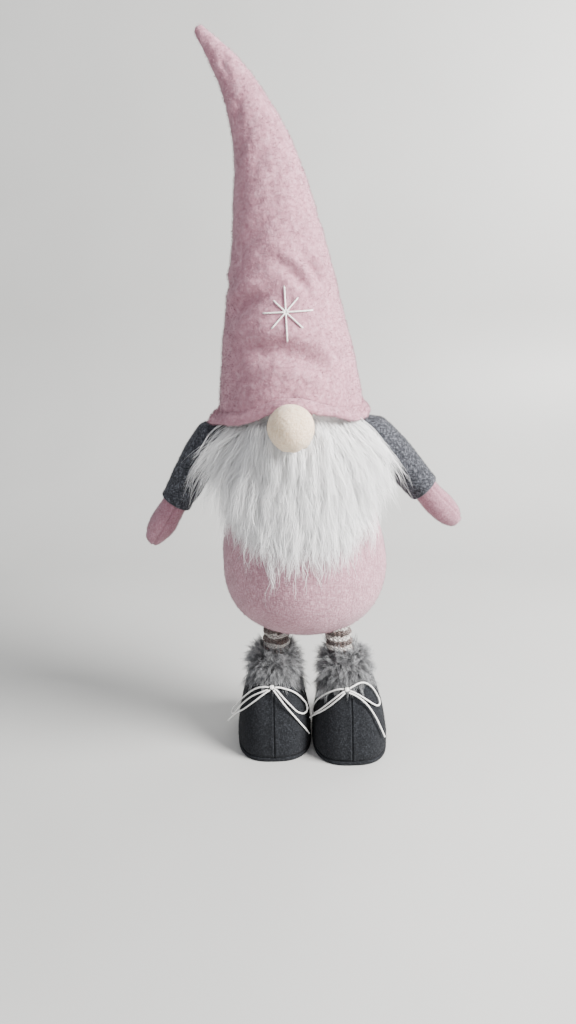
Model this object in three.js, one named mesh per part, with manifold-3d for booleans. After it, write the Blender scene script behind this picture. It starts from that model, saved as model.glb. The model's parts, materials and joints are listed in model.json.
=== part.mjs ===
// Standing felt gnome figurine with a tall wired hat, wired arms and telescopic legs.
// Millimetres, +Z up. The gnome looks along -Y, and left and right are the gnome's own sides (left is +X).
import * as THREE from 'three';
import { mergeVertices } from 'three/addons/utils/BufferGeometryUtils.js';
import Module from 'manifold-3d';

const wasm = await Module();
wasm.setup();

// ---- Driving dimensions ----

const GAP = 0.3; // clearance between pieces that touch
const BODY_AXIS_Y = 15; // the body's axis stands this far behind the origin, as the nose stands out in front
const FELT = 2; // wall of the body, sleeve and boot felt
const HAND_FELT = 1.5;
const HAT_FELT = 2.5;
const DEPTH_RATIO = 0.9; // the body and hat are a little flatter front to back than they are wide
const WIRE_RADIUS = 1;
const WIRE_SLOT = 5; // width of the slots that let a wire bend
const SLOT_MARGIN = 14; // degrees that a slot opens past the bend's ends
const BEND_ROOM = 6; // radius left open where two wire ends meet at a bend

const LEG_HEIGHT = 115; // from the floor to the bottom of the body
const aboveLegs = (height) => LEG_HEIGHT + height; // heights on the body and hat are from the body's bottom

// Body bag: an egg below, narrowing to the head that fills the hat.
const BODY = {
  bottomZ: LEG_HEIGHT,
  widestZ: aboveLegs(63),
  neckZ: aboveLegs(195),
  topZ: aboveLegs(243),
  halfWidth: 70,
};
const BODY_BASE_X = 1.4;
const BODY_NECK_X = -5; // the head leans slightly to the gnome's right
const EGG_POWER = 2.4;
const BODY_SIDES = 22;

// Hat centre line and radius, from the hem to the tip: [x, height above the body's bottom, radius].
const HAT_LINE = [
  [-8, 196, 57.2],
  [-9, 225, 53.5],
  [-12.5, 275, 44.5],
  [-15.5, 320, 35],
  [-21, 369, 25.5],
  [-29, 403, 18],
  [-41.5, 432, 12.5],
  [-54, 451, 8.5],
  [-69, 469.5, 3.5],
].map(([x, height, radius]) => [x, aboveLegs(height), radius]);
const [, HEM_Z, HEM_RADIUS] = HAT_LINE[0];
const HEAD_ROOM = 8.5; // between the head and the inside of the hat's hem
const HEAD_HALF_WIDTH = HEM_RADIUS - HAT_FELT - HEAD_ROOM;
const HAT_BEND_Z = aboveLegs(340);
const HAT_BEND_RANGE = [-30, 35]; // degrees, positive towards the gnome's left
const BEND_GAP = 1.5; // between the lower hat's rounded top and the upper hat
const HAT_SIDES = 20;
const BRIM = { tubeRadius: 5.2, outward: 1.6 }; // rolled hem around the hat's lower edge
const HAT_WIRE_START_Z = BODY.topZ + 14;

const STAR = { x: -10.6, z: aboveLegs(275), yarnRadius: 0.7, standOff: 1.3 };
const STAR_RAYS = [20, 13.5, 18.5, 12, 17, 16, 21.5, 17]; // from the +X ray, anticlockwise

const NOSE = {
  x: -8.5,
  y: -(HEM_RADIUS * DEPTH_RATIO + 22.8), // in front of the hat's hem
  z: HEM_Z - 1,
  radius: 17.2,
  felt: 1.6,
  mouthRadius: 7,
};

// Beard: [height above the body's bottom, halfWidth, thickness in front of the body].
const BEARD_OUTLINE = [
  [65, 22, 4.5],
  [75, 36, 7.5],
  [90, 52, 11.5],
  [110, 65, 15],
  [130, 72, 18.5],
  [147, 74, 21],
  [165, 70, 22.5],
  [180, 64, 21.5],
];
const BEARD_X = -3;
const BEARD_STAND_OFF = 0.8;

// Telescopic legs, measured along each leg from the floor.
const TUBE = { outerRadius: 8, outerWall: 1.1, innerRadius: 5.3, innerWall: 1.2 };
const OUTER_TUBE_START = aboveLegs(7);
const OUTER_TUBE_END = OUTER_TUBE_START + 155;
const INNER_TUBE_END = OUTER_TUBE_END - 15;
const BUSH = { flangeWidth: 1.5, flangeHeight: 2.4, sleeveLength: 14 };
const STOP_COLLAR = { fromEnd: 12, length: 8 };
const BASE_BOARD = { z: aboveLegs(13), thickness: 4 };

const SOCK_RADIUS = 11.5;
const SOCK_START = 59.5;

// Boots: a dome cut off flat at the ankle, on a flat sole, side by side about FEET_X.
const BOOT = { halfWidth: 34, toe: 46, heel: 49, domeHeight: 78, topZ: 64, outlinePower: 2.8 };
const FEET_X = 5.95;
const FEET_GAP = 0.9;
const SOLE_THICKNESS = 4;
const INSOLE = { inset: 3.2, thickness: 3 };
const INSOLE_TOP = SOLE_THICKNESS + 2 * GAP + INSOLE.thickness;
const SOCKET = { radius: TUBE.innerRadius + GAP + 4.4, length: 14 };
const WEIGHT = { inset: 7, height: 16 };
const BOOT_SIDES = 20;
const BOOT_LEVELS = [0, 0.35, 0.6, 0.82, 1]; // shares of the upper's height

const FUR_CUFF_TOP_Z = 96;
const CUFF_FOLLOW = 0.55; // share of the leg's lean that the cuff follows
const FUR_CUFF_PROFILE = [[21, 0], [25, 0.25], [26.5, 0.6], [25, 0.88], [20, 1]]; // [radius, share of height]

// Wired arms, measured along each arm from the shoulder.
const ARM = { shoulderRadius: 15, cuffRadius: 13, sleeveLength: 66, length: 109, range: [-12, 50] };
const SHOULDER_Z = HEM_Z - BRIM.tubeRadius - ARM.shoulderRadius - 2; // just under the brim
const BEARD_BACK_Y = -(ARM.shoulderRadius + 6); // the beard stays in front of the arms
const HAND_RADIUS = ARM.cuffRadius - FELT - GAP; // fits in the sleeve
const HAND_START = ARM.sleeveLength - 8;
// [share of the hand's length, share of its radius]
const HAND_PROFILE = [[0, 0.93], [0.2, 0.99], [0.5, 1.07], [0.75, 0.92], [0.92, 0.56], [0.985, 0.23]];
const HAND_FLATNESS = 0.78;
const ARM_WIRE_END = ARM.length - 11;
const ARM_SIDES = 12;

const LACE_RADIUS = 0.7;
const LACE_SIDES = 8;
const LACE_STEP = 4.2;
const KNOT_RADIUS = 2.2;

// The two sides of the gnome. Lace routes are in the gnome's frame, before BODY_AXIS_Y is added.
const RIGHT = {
  name: 'right',
  sign: -1,
  hipX: -24.5,
  legY: 10,
  shoulderOut: 18.5, // the shoulder's centre is this far outside the body
  armDrop: 56.5,
  knot: [-29.6, -20.3, 66.4],
  laces: {
    loop_inner: [
      [-26.6, -20.2, 66.2], [-22.5, -19.6, 65.6], [-18, -18.8, 63.8], [-12, -17, 60.4], [-6.5, -15, 55.4],
      [-2, -12.6, 49], [1.2, -11, 42.6], [1.6, -12.6, 38.4], [-0.6, -16.6, 37.6], [-4.4, -20.8, 40],
      [-8.6, -23.6, 44.4], [-12.6, -24.6, 49.6], [-17, -24.6, 55], [-21.6, -23.6, 60.4], [-25.4, -21.9, 64.4],
      [-27.4, -21.4, 65.6],
    ],
    loop_outer: [
      [-32.4, -20.1, 66.4], [-36.6, -19, 66.2], [-42, -17, 64.4], [-48.4, -13.4, 59.2], [-54.4, -8.4, 51.6],
      [-60, -1.2, 42.4], [-64.6, 6.2, 33], [-67.6, 9, 27.8], [-68.4, 7.4, 24.4], [-66, 3.4, 26.8],
      [-62.2, -3.6, 35], [-57.8, -9.8, 43.6], [-52.2, -15, 51.6], [-45.4, -19.2, 58.6], [-38.4, -21.8, 63],
      [-33.4, -22.1, 65.2],
    ],
    tail_inner: [
      [-28.2, -22.9, 65], [-25.4, -24.8, 61.8], [-22.2, -26.4, 57.6], [-18.4, -27.4, 52.4], [-14.2, -27.6, 46.6],
      [-10, -27.2, 40.8], [-6, -26, 34.8], [-2.4, -23.6, 28.4], [0.8, -20.2, 22], [3.2, -16.8, 16.4],
    ],
    tail_outer: [
      [-31.4, -23, 65.4], [-35.6, -24.2, 63], [-41, -24, 58.6], [-46.8, -22, 52.8], [-52.4, -17.8, 46],
      [-57.4, -11.8, 39], [-61.6, -5.4, 33], [-65.4, -1, 27.8], [-69, 1.4, 23], [-72, 2, 19.6],
    ],
  },
};
const LEFT = {
  name: 'left',
  sign: 1,
  hipX: 30.3,
  legY: 2,
  shoulderOut: 14,
  armDrop: 46.5,
  knot: [36.6, -27.4, 66.8],
  laces: {
    loop_inner: [
      [33.8, -27, 67], [29.8, -26, 66.4], [24.6, -23.6, 63.6], [19, -19.8, 58.8], [14, -14.6, 52.4],
      [10, -8.6, 44.6], [7.6, -4.4, 37], [6.8, -4.8, 32.4], [7.6, -9.4, 33], [10.4, -16.2, 38.4],
      [14, -22, 44.8], [18.6, -26, 51.2], [23.6, -28.2, 57], [28.6, -29, 61.8], [32.4, -29, 64.8],
      [34.4, -28.7, 65.8],
    ],
    loop_outer: [
      [39, -27, 67.8], [43, -25.4, 69.2], [47.6, -22.8, 70.2], [52.6, -20.4, 69.2], [57.2, -19, 66],
      [61, -18.4, 61.4], [64, -18.8, 56.2], [66, -20.4, 51.8], [66, -23, 49], [63.8, -25.6, 49.2],
      [60, -28, 52.2], [55.8, -29.4, 56], [51, -29.8, 59.8], [45.8, -29.6, 63.2], [41.4, -29, 65.4],
      [39.2, -28.7, 66],
    ],
    tail_inner: [
      [34.6, -30, 65], [31.2, -31, 62], [27.4, -30.8, 58.4], [23.2, -29.6, 53.8], [18.8, -27, 48.6],
      [14.6, -23.2, 43.2], [11.2, -18.8, 38.6], [8.2, -14.8, 34.6], [5.8, -12.2, 31.4], [4, -11.4, 29.4],
    ],
    tail_outer: [
      [38.2, -30, 65.2], [42.2, -31, 63.8], [46.8, -31.6, 61], [51.2, -32, 57.2], [55.4, -32.6, 52.4],
      [59.2, -33.4, 46.6], [62.6, -34, 40.2], [65.4, -34, 33.4], [68, -33.2, 26.8], [70, -32, 21.2],
    ],
  },
};

// ---- Materials ----

const paint = (color, roughness = 0.95, metalness = 0) =>
  new THREE.MeshStandardMaterial({ color, roughness, metalness });
const MATERIALS = {
  hatFelt: paint(0xd8b4bd),
  bodyFelt: paint(0xcfa6b2),
  handFelt: paint(0xcf9fad),
  sleeveFelt: paint(0x63676f),
  bootFelt: paint(0x35363b),
  noseFelt: paint(0xe6dac4),
  whiteFur: paint(0xf3f1ee),
  greyFur: paint(0x8c8e8f),
  sockKnit: paint(0x8a7b74),
  yarn: paint(0xefede8, 0.9),
  stuffing: paint(0xf0efea),
  board: paint(0xa98a62, 0.8),
  tube: paint(0xb9babd, 0.45),
  bush: paint(0x4a4c50, 0.5),
  wire: paint(0x8d9094, 0.4, 0.8),
  weightBag: paint(0xb7ad98, 0.9),
};

// ---- Solids ----

const { degToRad: radians, radToDeg: degrees, lerp, mapLinear, smoothstep } = THREE.MathUtils;
const at = (x, y, z) => new THREE.Matrix4().makeTranslation(x, y, z);
const ACROSS = new THREE.Vector3(1, 0, 0);
const DEEP = new THREE.Vector3(0, 1, 0);
const DOWN = new THREE.Vector3(0, 0, -1);

// A ring of points around a centre: right x deep points along the loft.
function ring(centre, right, deep, sides, halfWidth, halfDepth) {
  return Array.from({ length: sides }, (_, i) => {
    const angle = (2 * Math.PI * i) / sides;
    return centre
      .clone()
      .addScaledVector(right, halfWidth * Math.cos(angle))
      .addScaledVector(deep, halfDepth * Math.sin(angle));
  });
}

// A closed surface through rings of equal size, with a fan over each end.
function loft(rings) {
  const sides = rings[0].length;
  const points = rings.flat();
  const index = [];
  for (let level = 0; level < rings.length - 1; level++) {
    for (let i = 0; i < sides; i++) {
      const a = level * sides + i;
      const b = level * sides + ((i + 1) % sides);
      index.push(a, b, a + sides, b, b + sides, a + sides);
    }
  }
  for (const level of [0, rings.length - 1]) {
    const centre = rings[level].reduce((sum, p) => sum.add(p), new THREE.Vector3()).divideScalar(sides);
    const hub = points.push(centre) - 1;
    for (let i = 0; i < sides; i++) {
      const a = level * sides + i;
      const b = level * sides + ((i + 1) % sides);
      index.push(hub, ...(level ? [a, b] : [b, a]));
    }
  }
  const geometry = new THREE.BufferGeometry().setFromPoints(points);
  geometry.setIndex(index);
  return geometry;
}

function solid(geometry, matrix) {
  const bare = geometry.clone();
  if (matrix) bare.applyMatrix4(matrix);
  bare.deleteAttribute('normal');
  bare.deleteAttribute('uv');
  const merged = mergeVertices(bare, 1e-4);
  return new wasm.Manifold(
    new wasm.Mesh({
      numProp: 3,
      vertProperties: new Float32Array(merged.attributes.position.array),
      triVerts: new Uint32Array(merged.index.array),
    }),
  );
}

function geometryOf(body) {
  const { vertProperties, triVerts } = body.getMesh();
  const geometry = new THREE.BufferGeometry();
  geometry.setAttribute('position', new THREE.BufferAttribute(vertProperties, 3));
  geometry.setIndex(new THREE.BufferAttribute(triVerts, 1));
  geometry.computeVertexNormals();
  return geometry;
}

const cut = (body, ...cutters) => cutters.reduce((left, cutter) => left.subtract(cutter), body);

// Upright cylinder and ring, from one height to another.
function rod(radius, start, end, sides = 16) {
  const geometry = new THREE.CylinderGeometry(radius, radius, end - start, sides);
  return geometry.rotateX(Math.PI / 2).translate(0, 0, (start + end) / 2);
}
function turned(profile, sides = 16) {
  const outline = [...profile, profile[0]].map(([r, z]) => new THREE.Vector2(r, z));
  return new THREE.LatheGeometry(outline, sides).rotateX(Math.PI / 2);
}
const pipe = (outer, inner, start, end, sides = 16) =>
  turned([[inner, start], [outer, start], [outer, end], [inner, end]], sides);
// Balls have their poles on Y, the axis that the hat and arms bend about.
const ball = (radius, centre, around = 14, down = 8) =>
  new THREE.SphereGeometry(radius, around, down).translate(...centre);
const block = (x0, x1, y0, y1, z0, z1) =>
  new THREE.BoxGeometry(x1 - x0, y1 - y0, z1 - z0).translate((x0 + x1) / 2, (y0 + y1) / 2, (z0 + z1) / 2);
const FAR = 300; // beyond every piece sideways
const slab = (z0, z1) => block(-FAR, FAR, -FAR, FAR, z0, z1);

// A round strand along a smooth curve through points.
function strand(points, radius, sides, step) {
  const path = new THREE.CatmullRomCurve3(points.map((p) => new THREE.Vector3(...p)));
  const section = new THREE.Shape(
    Array.from({ length: sides }, (_, i) => {
      const angle = (2 * Math.PI * i) / sides;
      return new THREE.Vector2(radius * Math.cos(angle), radius * Math.sin(angle));
    }),
  );
  const steps = Math.max(2, Math.round(path.getLength() / step));
  return new THREE.ExtrudeGeometry(section, { steps, extrudePath: path, bevelEnabled: false });
}

// Room for a wire to swing in the XZ plane between two angles: a sector and a ball at its point.
function slot(radius, fromDegrees, toDegrees, matrix) {
  const from = radians(fromDegrees);
  const to = radians(toDegrees);
  const sector = new THREE.Shape().moveTo(0, 0).absarc(0, 0, radius, from, to, false).lineTo(0, 0);
  const geometry = new THREE.ExtrudeGeometry(sector, { depth: WIRE_SLOT, bevelEnabled: false, curveSegments: 3 });
  geometry.translate(0, 0, -WIRE_SLOT / 2).rotateX(Math.PI / 2);
  return solid(geometry, matrix).add(solid(ball(BEND_ROOM, [0, 0, 0], 10, 6), matrix));
}

// ---- Scene graph ----

const gnome = new THREE.Group();
gnome.position.y = BODY_AXIS_Y;

function add(parent, name, material, shape) {
  const geometry = shape.isBufferGeometry ? shape : geometryOf(shape);
  const mesh = new THREE.Mesh(geometry, material);
  mesh.name = name;
  parent.add(mesh);
}

// ---- Body ----

const bodyX = (z) =>
  mapLinear(Math.max(z, BODY.widestZ), BODY.widestZ, BODY.neckZ, BODY_BASE_X, BODY_NECK_X);

// Half-width of the body between its widest place and the neck.
const bodyHalfWidth = (z) =>
  lerp(BODY.halfWidth, HEAD_HALF_WIDTH, smoothstep(z, BODY.widestZ, BODY.neckZ));

// Outline of the body bag as [z, halfWidth], inset by a wall.
function bodyOutline(inset) {
  const outline = [];
  const eggHeight = BODY.widestZ - BODY.bottomZ - inset;
  for (const latitude of [15, 33, 51, 70]) {
    const rise = Math.cos(radians(latitude));
    const share = (1 - rise ** EGG_POWER) ** (1 / EGG_POWER);
    outline.push([BODY.widestZ - eggHeight * rise, (BODY.halfWidth - inset) * share]);
  }
  for (const share of [0, 0.35, 0.7]) {
    const z = lerp(BODY.widestZ, BODY.neckZ, share);
    outline.push([z, bodyHalfWidth(z) - inset]);
  }
  for (const latitude of [0, 30, 60]) {
    const rise = (BODY.topZ - BODY.neckZ - inset) * Math.sin(radians(latitude));
    outline.push([BODY.neckZ + rise, (HEAD_HALF_WIDTH - inset) * Math.cos(radians(latitude))]);
  }
  return outline;
}

function bodySolid(inset) {
  const rings = bodyOutline(inset).map(([z, halfWidth]) =>
    ring(new THREE.Vector3(bodyX(z), 0, z), ACROSS, DEEP, BODY_SIDES, halfWidth, halfWidth * DEPTH_RATIO),
  );
  return solid(loft(rings));
}

const SIDES = [RIGHT, LEFT];
for (const side of SIDES) {
  side.bootX = FEET_X + side.sign * (BOOT.halfWidth + FEET_GAP / 2);
  const out = bodyHalfWidth(SHOULDER_Z) + side.shoulderOut;
  side.shoulder = [bodyX(SHOULDER_Z) + side.sign * out, 0, SHOULDER_Z];
}

// Radius of a sleeve at a distance along the arm.
const sleeveRadius = (x) =>
  lerp(ARM.shoulderRadius, ARM.cuffRadius, smoothstep(x, 0, ARM.sleeveLength));

// The leg's frame stands at the middle of its boot on the floor, and leans in towards the hip.
const legLean = ({ bootX, hipX }) => Math.atan2(hipX - bootX, LEG_HEIGHT);
const legMatrix = (side) =>
  at(side.bootX, side.legY, 0).multiply(new THREE.Matrix4().makeRotationY(legLean(side)));

// Where the leg's socket and inner tube start, clear of the insole board that they lean over.
const footStart = (side) => {
  const lean = Math.abs(legLean(side));
  return (INSOLE_TOP + GAP + SOCKET.radius * Math.sin(lean)) / Math.cos(lean);
};

// Room in the body for a shoulder's ball, and for the sleeve below it when the arm is lowered.
function shoulderRoom({ shoulder, sign, armDrop }) {
  const clearance = 3 * GAP;
  const reach = 0.6 * ARM.sleeveLength;
  const ends = [sleeveRadius(reach) + clearance, ARM.shoulderRadius + clearance];
  const sleeve = new THREE.CylinderGeometry(...ends, reach, 14).rotateZ(-Math.PI / 2).translate(reach / 2, 0, 0);
  const lowered = radians(armDrop - ARM.range[0]);
  const turn = new THREE.Matrix4().makeRotationY(sign > 0 ? lowered : Math.PI - lowered);
  const matrix = at(...shoulder).multiply(turn);
  const around = solid(ball(ARM.shoulderRadius + clearance, [0, 0, 0]), matrix);
  return around.add(solid(sleeve, matrix));
}
const shoulderRooms = SIDES.map(shoulderRoom);

const boardTop = BASE_BOARD.z + BASE_BOARD.thickness;
const alongLegs = (geometry) => SIDES.map((side) => solid(geometry, legMatrix(side)));

function addBody() {
  const [rightShoulder, leftShoulder] = SIDES.map((side) => new THREE.Vector3(...side.shoulder));
  const inward = leftShoulder.clone().sub(rightShoulder).normalize().multiplyScalar(2 * GAP);
  const wireEnds = [rightShoulder.add(inward).toArray(), leftShoulder.sub(inward).toArray()];
  const wireRoom = solid(strand(wireEnds, WIRE_RADIUS + GAP, 8, 500));
  add(gnome, 'shoulder_wire', MATERIALS.wire, strand(wireEnds, WIRE_RADIUS, 8, 500));

  const cover = cut(
    bodySolid(0),
    bodySolid(FELT),
    ...alongLegs(rod(SOCK_RADIUS + 2 * GAP, FUR_CUFF_TOP_Z, BASE_BOARD.z)),
    wireRoom,
    ...shoulderRooms,
  );
  add(gnome, 'body_cover', MATERIALS.bodyFelt, cover);

  const stuffing = cut(
    bodySolid(FELT + GAP).intersect(solid(slab(boardTop + GAP, BODY.topZ))),
    ...alongLegs(rod(TUBE.outerRadius + GAP, LEG_HEIGHT, OUTER_TUBE_END + GAP)),
    wireRoom,
    ...shoulderRooms,
  );
  add(gnome, 'body_stuffing', MATERIALS.stuffing, stuffing);

  const board = cut(
    bodySolid(FELT + GAP).intersect(solid(slab(BASE_BOARD.z, boardTop))),
    ...alongLegs(rod(TUBE.outerRadius + GAP, LEG_HEIGHT, OUTER_TUBE_END)),
  );
  add(gnome, 'base_board', MATERIALS.board, board);
}

// ---- Face ----

function addFace() {
  const noseAt = [NOSE.x, NOSE.y, NOSE.z];
  const mouth = rod(NOSE.mouthRadius, 0, 2 * NOSE.radius).rotateX(-Math.PI / 2).translate(...noseAt);
  const noseCover = cut(
    solid(ball(NOSE.radius, noseAt)),
    solid(ball(NOSE.radius - NOSE.felt, noseAt)),
    solid(mouth),
  );
  add(gnome, 'nose_cover', MATERIALS.noseFelt, noseCover);
  add(gnome, 'nose_filling', MATERIALS.stuffing, ball(NOSE.radius - NOSE.felt - GAP, noseAt));

  const rings = BEARD_OUTLINE.map(([height, halfWidth, thickness]) => {
    const z = aboveLegs(height);
    const reach = bodyHalfWidth(z) * DEPTH_RATIO + thickness;
    return ring(new THREE.Vector3(BEARD_X, 0, z), ACROSS, DEEP, BODY_SIDES, halfWidth, reach);
  });
  const beard = cut(
    solid(loft(rings)),
    bodySolid(-BEARD_STAND_OFF),
    solid(block(-FAR, FAR, BEARD_BACK_Y, FAR, 0, 2 * FAR)),
    solid(ball(NOSE.radius + 2 * GAP, noseAt)),
  );
  add(gnome, 'beard', MATERIALS.whiteFur, beard);
}

// ---- Hat ----

// The centre line carries the radius in y: a point is (x, radius, z).
const hatLine = new THREE.CatmullRomCurve3(HAT_LINE.map(([x, z, radius]) => new THREE.Vector3(x, radius, z)));

// Position along the centre line, 0 to 1, at a height.
function hatShare(z) {
  let low = 0;
  let high = 1;
  for (let i = 0; i < 30; i++) {
    const middle = (low + high) / 2;
    if (hatLine.getPoint(middle).z < z) low = middle;
    else high = middle;
  }
  return (low + high) / 2;
}

function hatFrame(share) {
  const point = hatLine.getPoint(share);
  const slope = hatLine.getTangent(share);
  const along = new THREE.Vector3(slope.x, 0, slope.z).normalize();
  const right = new THREE.Vector3().crossVectors(DEEP, along);
  return { centre: new THREE.Vector3(point.x, 0, point.z), radius: point.y, along, right };
}

// Hat solid between two positions, inset by a wall, its first ring moved back along the line.
function hatSolid(fromShare, toShare, inset, steps, { extend = 0, rounded = false } = {}) {
  const rings = [];
  for (let i = 0; i <= steps; i++) {
    const { centre, radius, along, right } = hatFrame(lerp(fromShare, toShare, i / steps));
    if (i === 0) centre.addScaledVector(along, -extend);
    rings.push(ring(centre, right, DEEP, HAT_SIDES, radius - inset, (radius - inset) * DEPTH_RATIO));
    if (i === steps && rounded) {
      const end = radius - inset;
      centre.addScaledVector(along, 0.7 * end);
      rings.push(ring(centre, right, DEEP, HAT_SIDES, 0.6 * end, 0.6 * end * DEPTH_RATIO));
    }
  }
  return solid(loft(rings));
}

const bendShare = hatShare(HAT_BEND_Z);
const bend = hatFrame(bendShare);

// The lower hat ends in a rounded top about the bend, and the upper hat is hollowed to sit over it.
function bendBall(radius) {
  const geometry = ball(radius, [0, 0, 0], HAT_SIDES + 4, 10).scale(1, DEPTH_RATIO, 1);
  return solid(geometry.translate(...bend.centre.toArray()));
}

function hatWire(fromShare, toShare, clearance) {
  const steps = 8;
  const points = [];
  for (let i = 0; i <= steps; i++) {
    points.push(hatFrame(lerp(fromShare, toShare, i / steps)).centre.toArray());
  }
  return strand(points, WIRE_RADIUS + clearance, 6, 16);
}

function addHat() {
  const lower = (inset, extend) =>
    hatSolid(0, bendShare, inset, 4, { extend }).add(bendBall(bend.radius - inset));
  const lean = degrees(Math.atan2(bend.along.z, bend.along.x));
  const [swingRight, swingLeft] = HAT_BEND_RANGE;
  const fromLean = lean - swingLeft - SLOT_MARGIN;
  const toLean = lean - swingRight + SLOT_MARGIN;
  const wireSlot = slot(2 * bend.radius, fromLean, toLean, at(...bend.centre.toArray()));

  const hem = hatFrame(0);
  const hemTurn = new THREE.Matrix4().makeBasis(hem.right, DEEP, hem.along).setPosition(hem.centre);
  const brimSolid = (clearance) => {
    const roll = new THREE.TorusGeometry(hem.radius + BRIM.outward, BRIM.tubeRadius + clearance, 7, 28);
    return solid(roll.scale(1, DEPTH_RATIO, 1), hemTurn);
  };
  const noseRoom = solid(ball(NOSE.radius + 2 * GAP, [NOSE.x, NOSE.y, NOSE.z]));
  add(gnome, 'hat_brim', MATERIALS.hatFelt, cut(brimSolid(0), noseRoom));

  const lowerCover = cut(lower(0, 0), lower(HAT_FELT, 4), wireSlot, brimSolid(GAP), noseRoom);
  add(gnome, 'hat_cone_lower', MATERIALS.hatFelt, lowerCover);

  const wireStart = hatShare(HAT_WIRE_START_Z);
  const lineLength = HAT_LINE[HAT_LINE.length - 1][1] - HAT_LINE[0][1];
  const wireGap = (2 * GAP) / lineLength;
  const lowerStuffing = cut(
    lower(HAT_FELT + GAP, 0),
    bodySolid(-GAP),
    solid(slab(BODY.widestZ, BODY.topZ + 2)),
    solid(hatWire(wireStart - wireGap, bendShare, GAP)),
    wireSlot,
  );
  add(gnome, 'hat_stuffing_lower', MATERIALS.stuffing, lowerStuffing);
  add(gnome, 'hat_wire_lower', MATERIALS.wire, hatWire(wireStart, bendShare - wireGap, 0));

  const upper = (inset, extend) => hatSolid(bendShare, 1, inset, 8, { extend, rounded: true });
  const upperCover = cut(upper(0, 0), bendBall(bend.radius + BEND_GAP), upper(HAT_FELT, 4));
  add(gnome, 'hat_cone_upper', MATERIALS.hatFelt, upperCover);

  const wireEnd = hatShare(HAT_LINE[HAT_LINE.length - 2][1]);
  const belowTip = solid(slab(0, hatFrame(wireEnd).centre.z + 4));
  const upperStuffing = cut(
    upper(HAT_FELT + GAP, 0).intersect(belowTip),
    bendBall(bend.radius + BEND_GAP),
    solid(hatWire(bendShare, wireEnd + wireGap, GAP)),
  );
  add(gnome, 'hat_stuffing_upper', MATERIALS.stuffing, upperStuffing);
  add(gnome, 'hat_wire_upper', MATERIALS.wire, hatWire(bendShare + wireGap, wireEnd, 0));
}

// Eight yarn stitches from one point, lying on the front of the hat.
function addStar() {
  const onHat = (x, z) => {
    const { centre, radius } = hatFrame(hatShare(z));
    const across = (x - centre.x) / radius;
    return [x, -DEPTH_RATIO * radius * Math.sqrt(1 - across * across) - STAR.standOff, z];
  };
  const rays = STAR_RAYS.map((length, i) => {
    const angle = (2 * Math.PI * i) / STAR_RAYS.length;
    const points = [0, 0.35, 0.7, 1].map((share) =>
      onHat(STAR.x + share * length * Math.cos(angle), STAR.z + share * length * Math.sin(angle)),
    );
    return solid(strand(points, STAR.yarnRadius, 4, 7));
  });
  const middle = ball(2 * STAR.yarnRadius, onHat(STAR.x, STAR.z), 8, 6);
  const centre = solid(middle.translate(0, -STAR.yarnRadius, 0));
  const star = rays.reduce((joined, ray) => joined.add(ray), centre);
  add(gnome, 'star_embroidery', MATERIALS.yarn, star);
}

// ---- Legs and boots ----

// Boot outline at a height, inset by a wall: a rounded oblong, longer behind the leg than in front.
function bootRing({ bootX, legY }, z, inset) {
  const share = Math.sqrt(1 - (z / BOOT.domeHeight) ** 2);
  const round = (value) => Math.sign(value) * Math.abs(value) ** (2 / BOOT.outlinePower);
  return Array.from({ length: BOOT_SIDES }, (_, i) => {
    const angle = (2 * Math.PI * i) / BOOT_SIDES;
    const length = Math.sin(angle) < 0 ? BOOT.toe : BOOT.heel;
    const x = bootX + (BOOT.halfWidth * share - inset) * round(Math.cos(angle));
    const y = legY + (length * share - inset) * round(Math.sin(angle));
    return new THREE.Vector3(x, y, z);
  });
}

function bootSolid(side, startZ, endZ, inset, levels = BOOT_LEVELS) {
  return solid(loft(levels.map((share) => bootRing(side, lerp(startZ, endZ, share), inset))));
}

function plate(side, startZ, endZ, inset) {
  const base = bootRing(side, 0, inset);
  return loft([startZ, endZ].map((z) => base.map((p) => new THREE.Vector3(p.x, p.y, z))));
}

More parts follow.
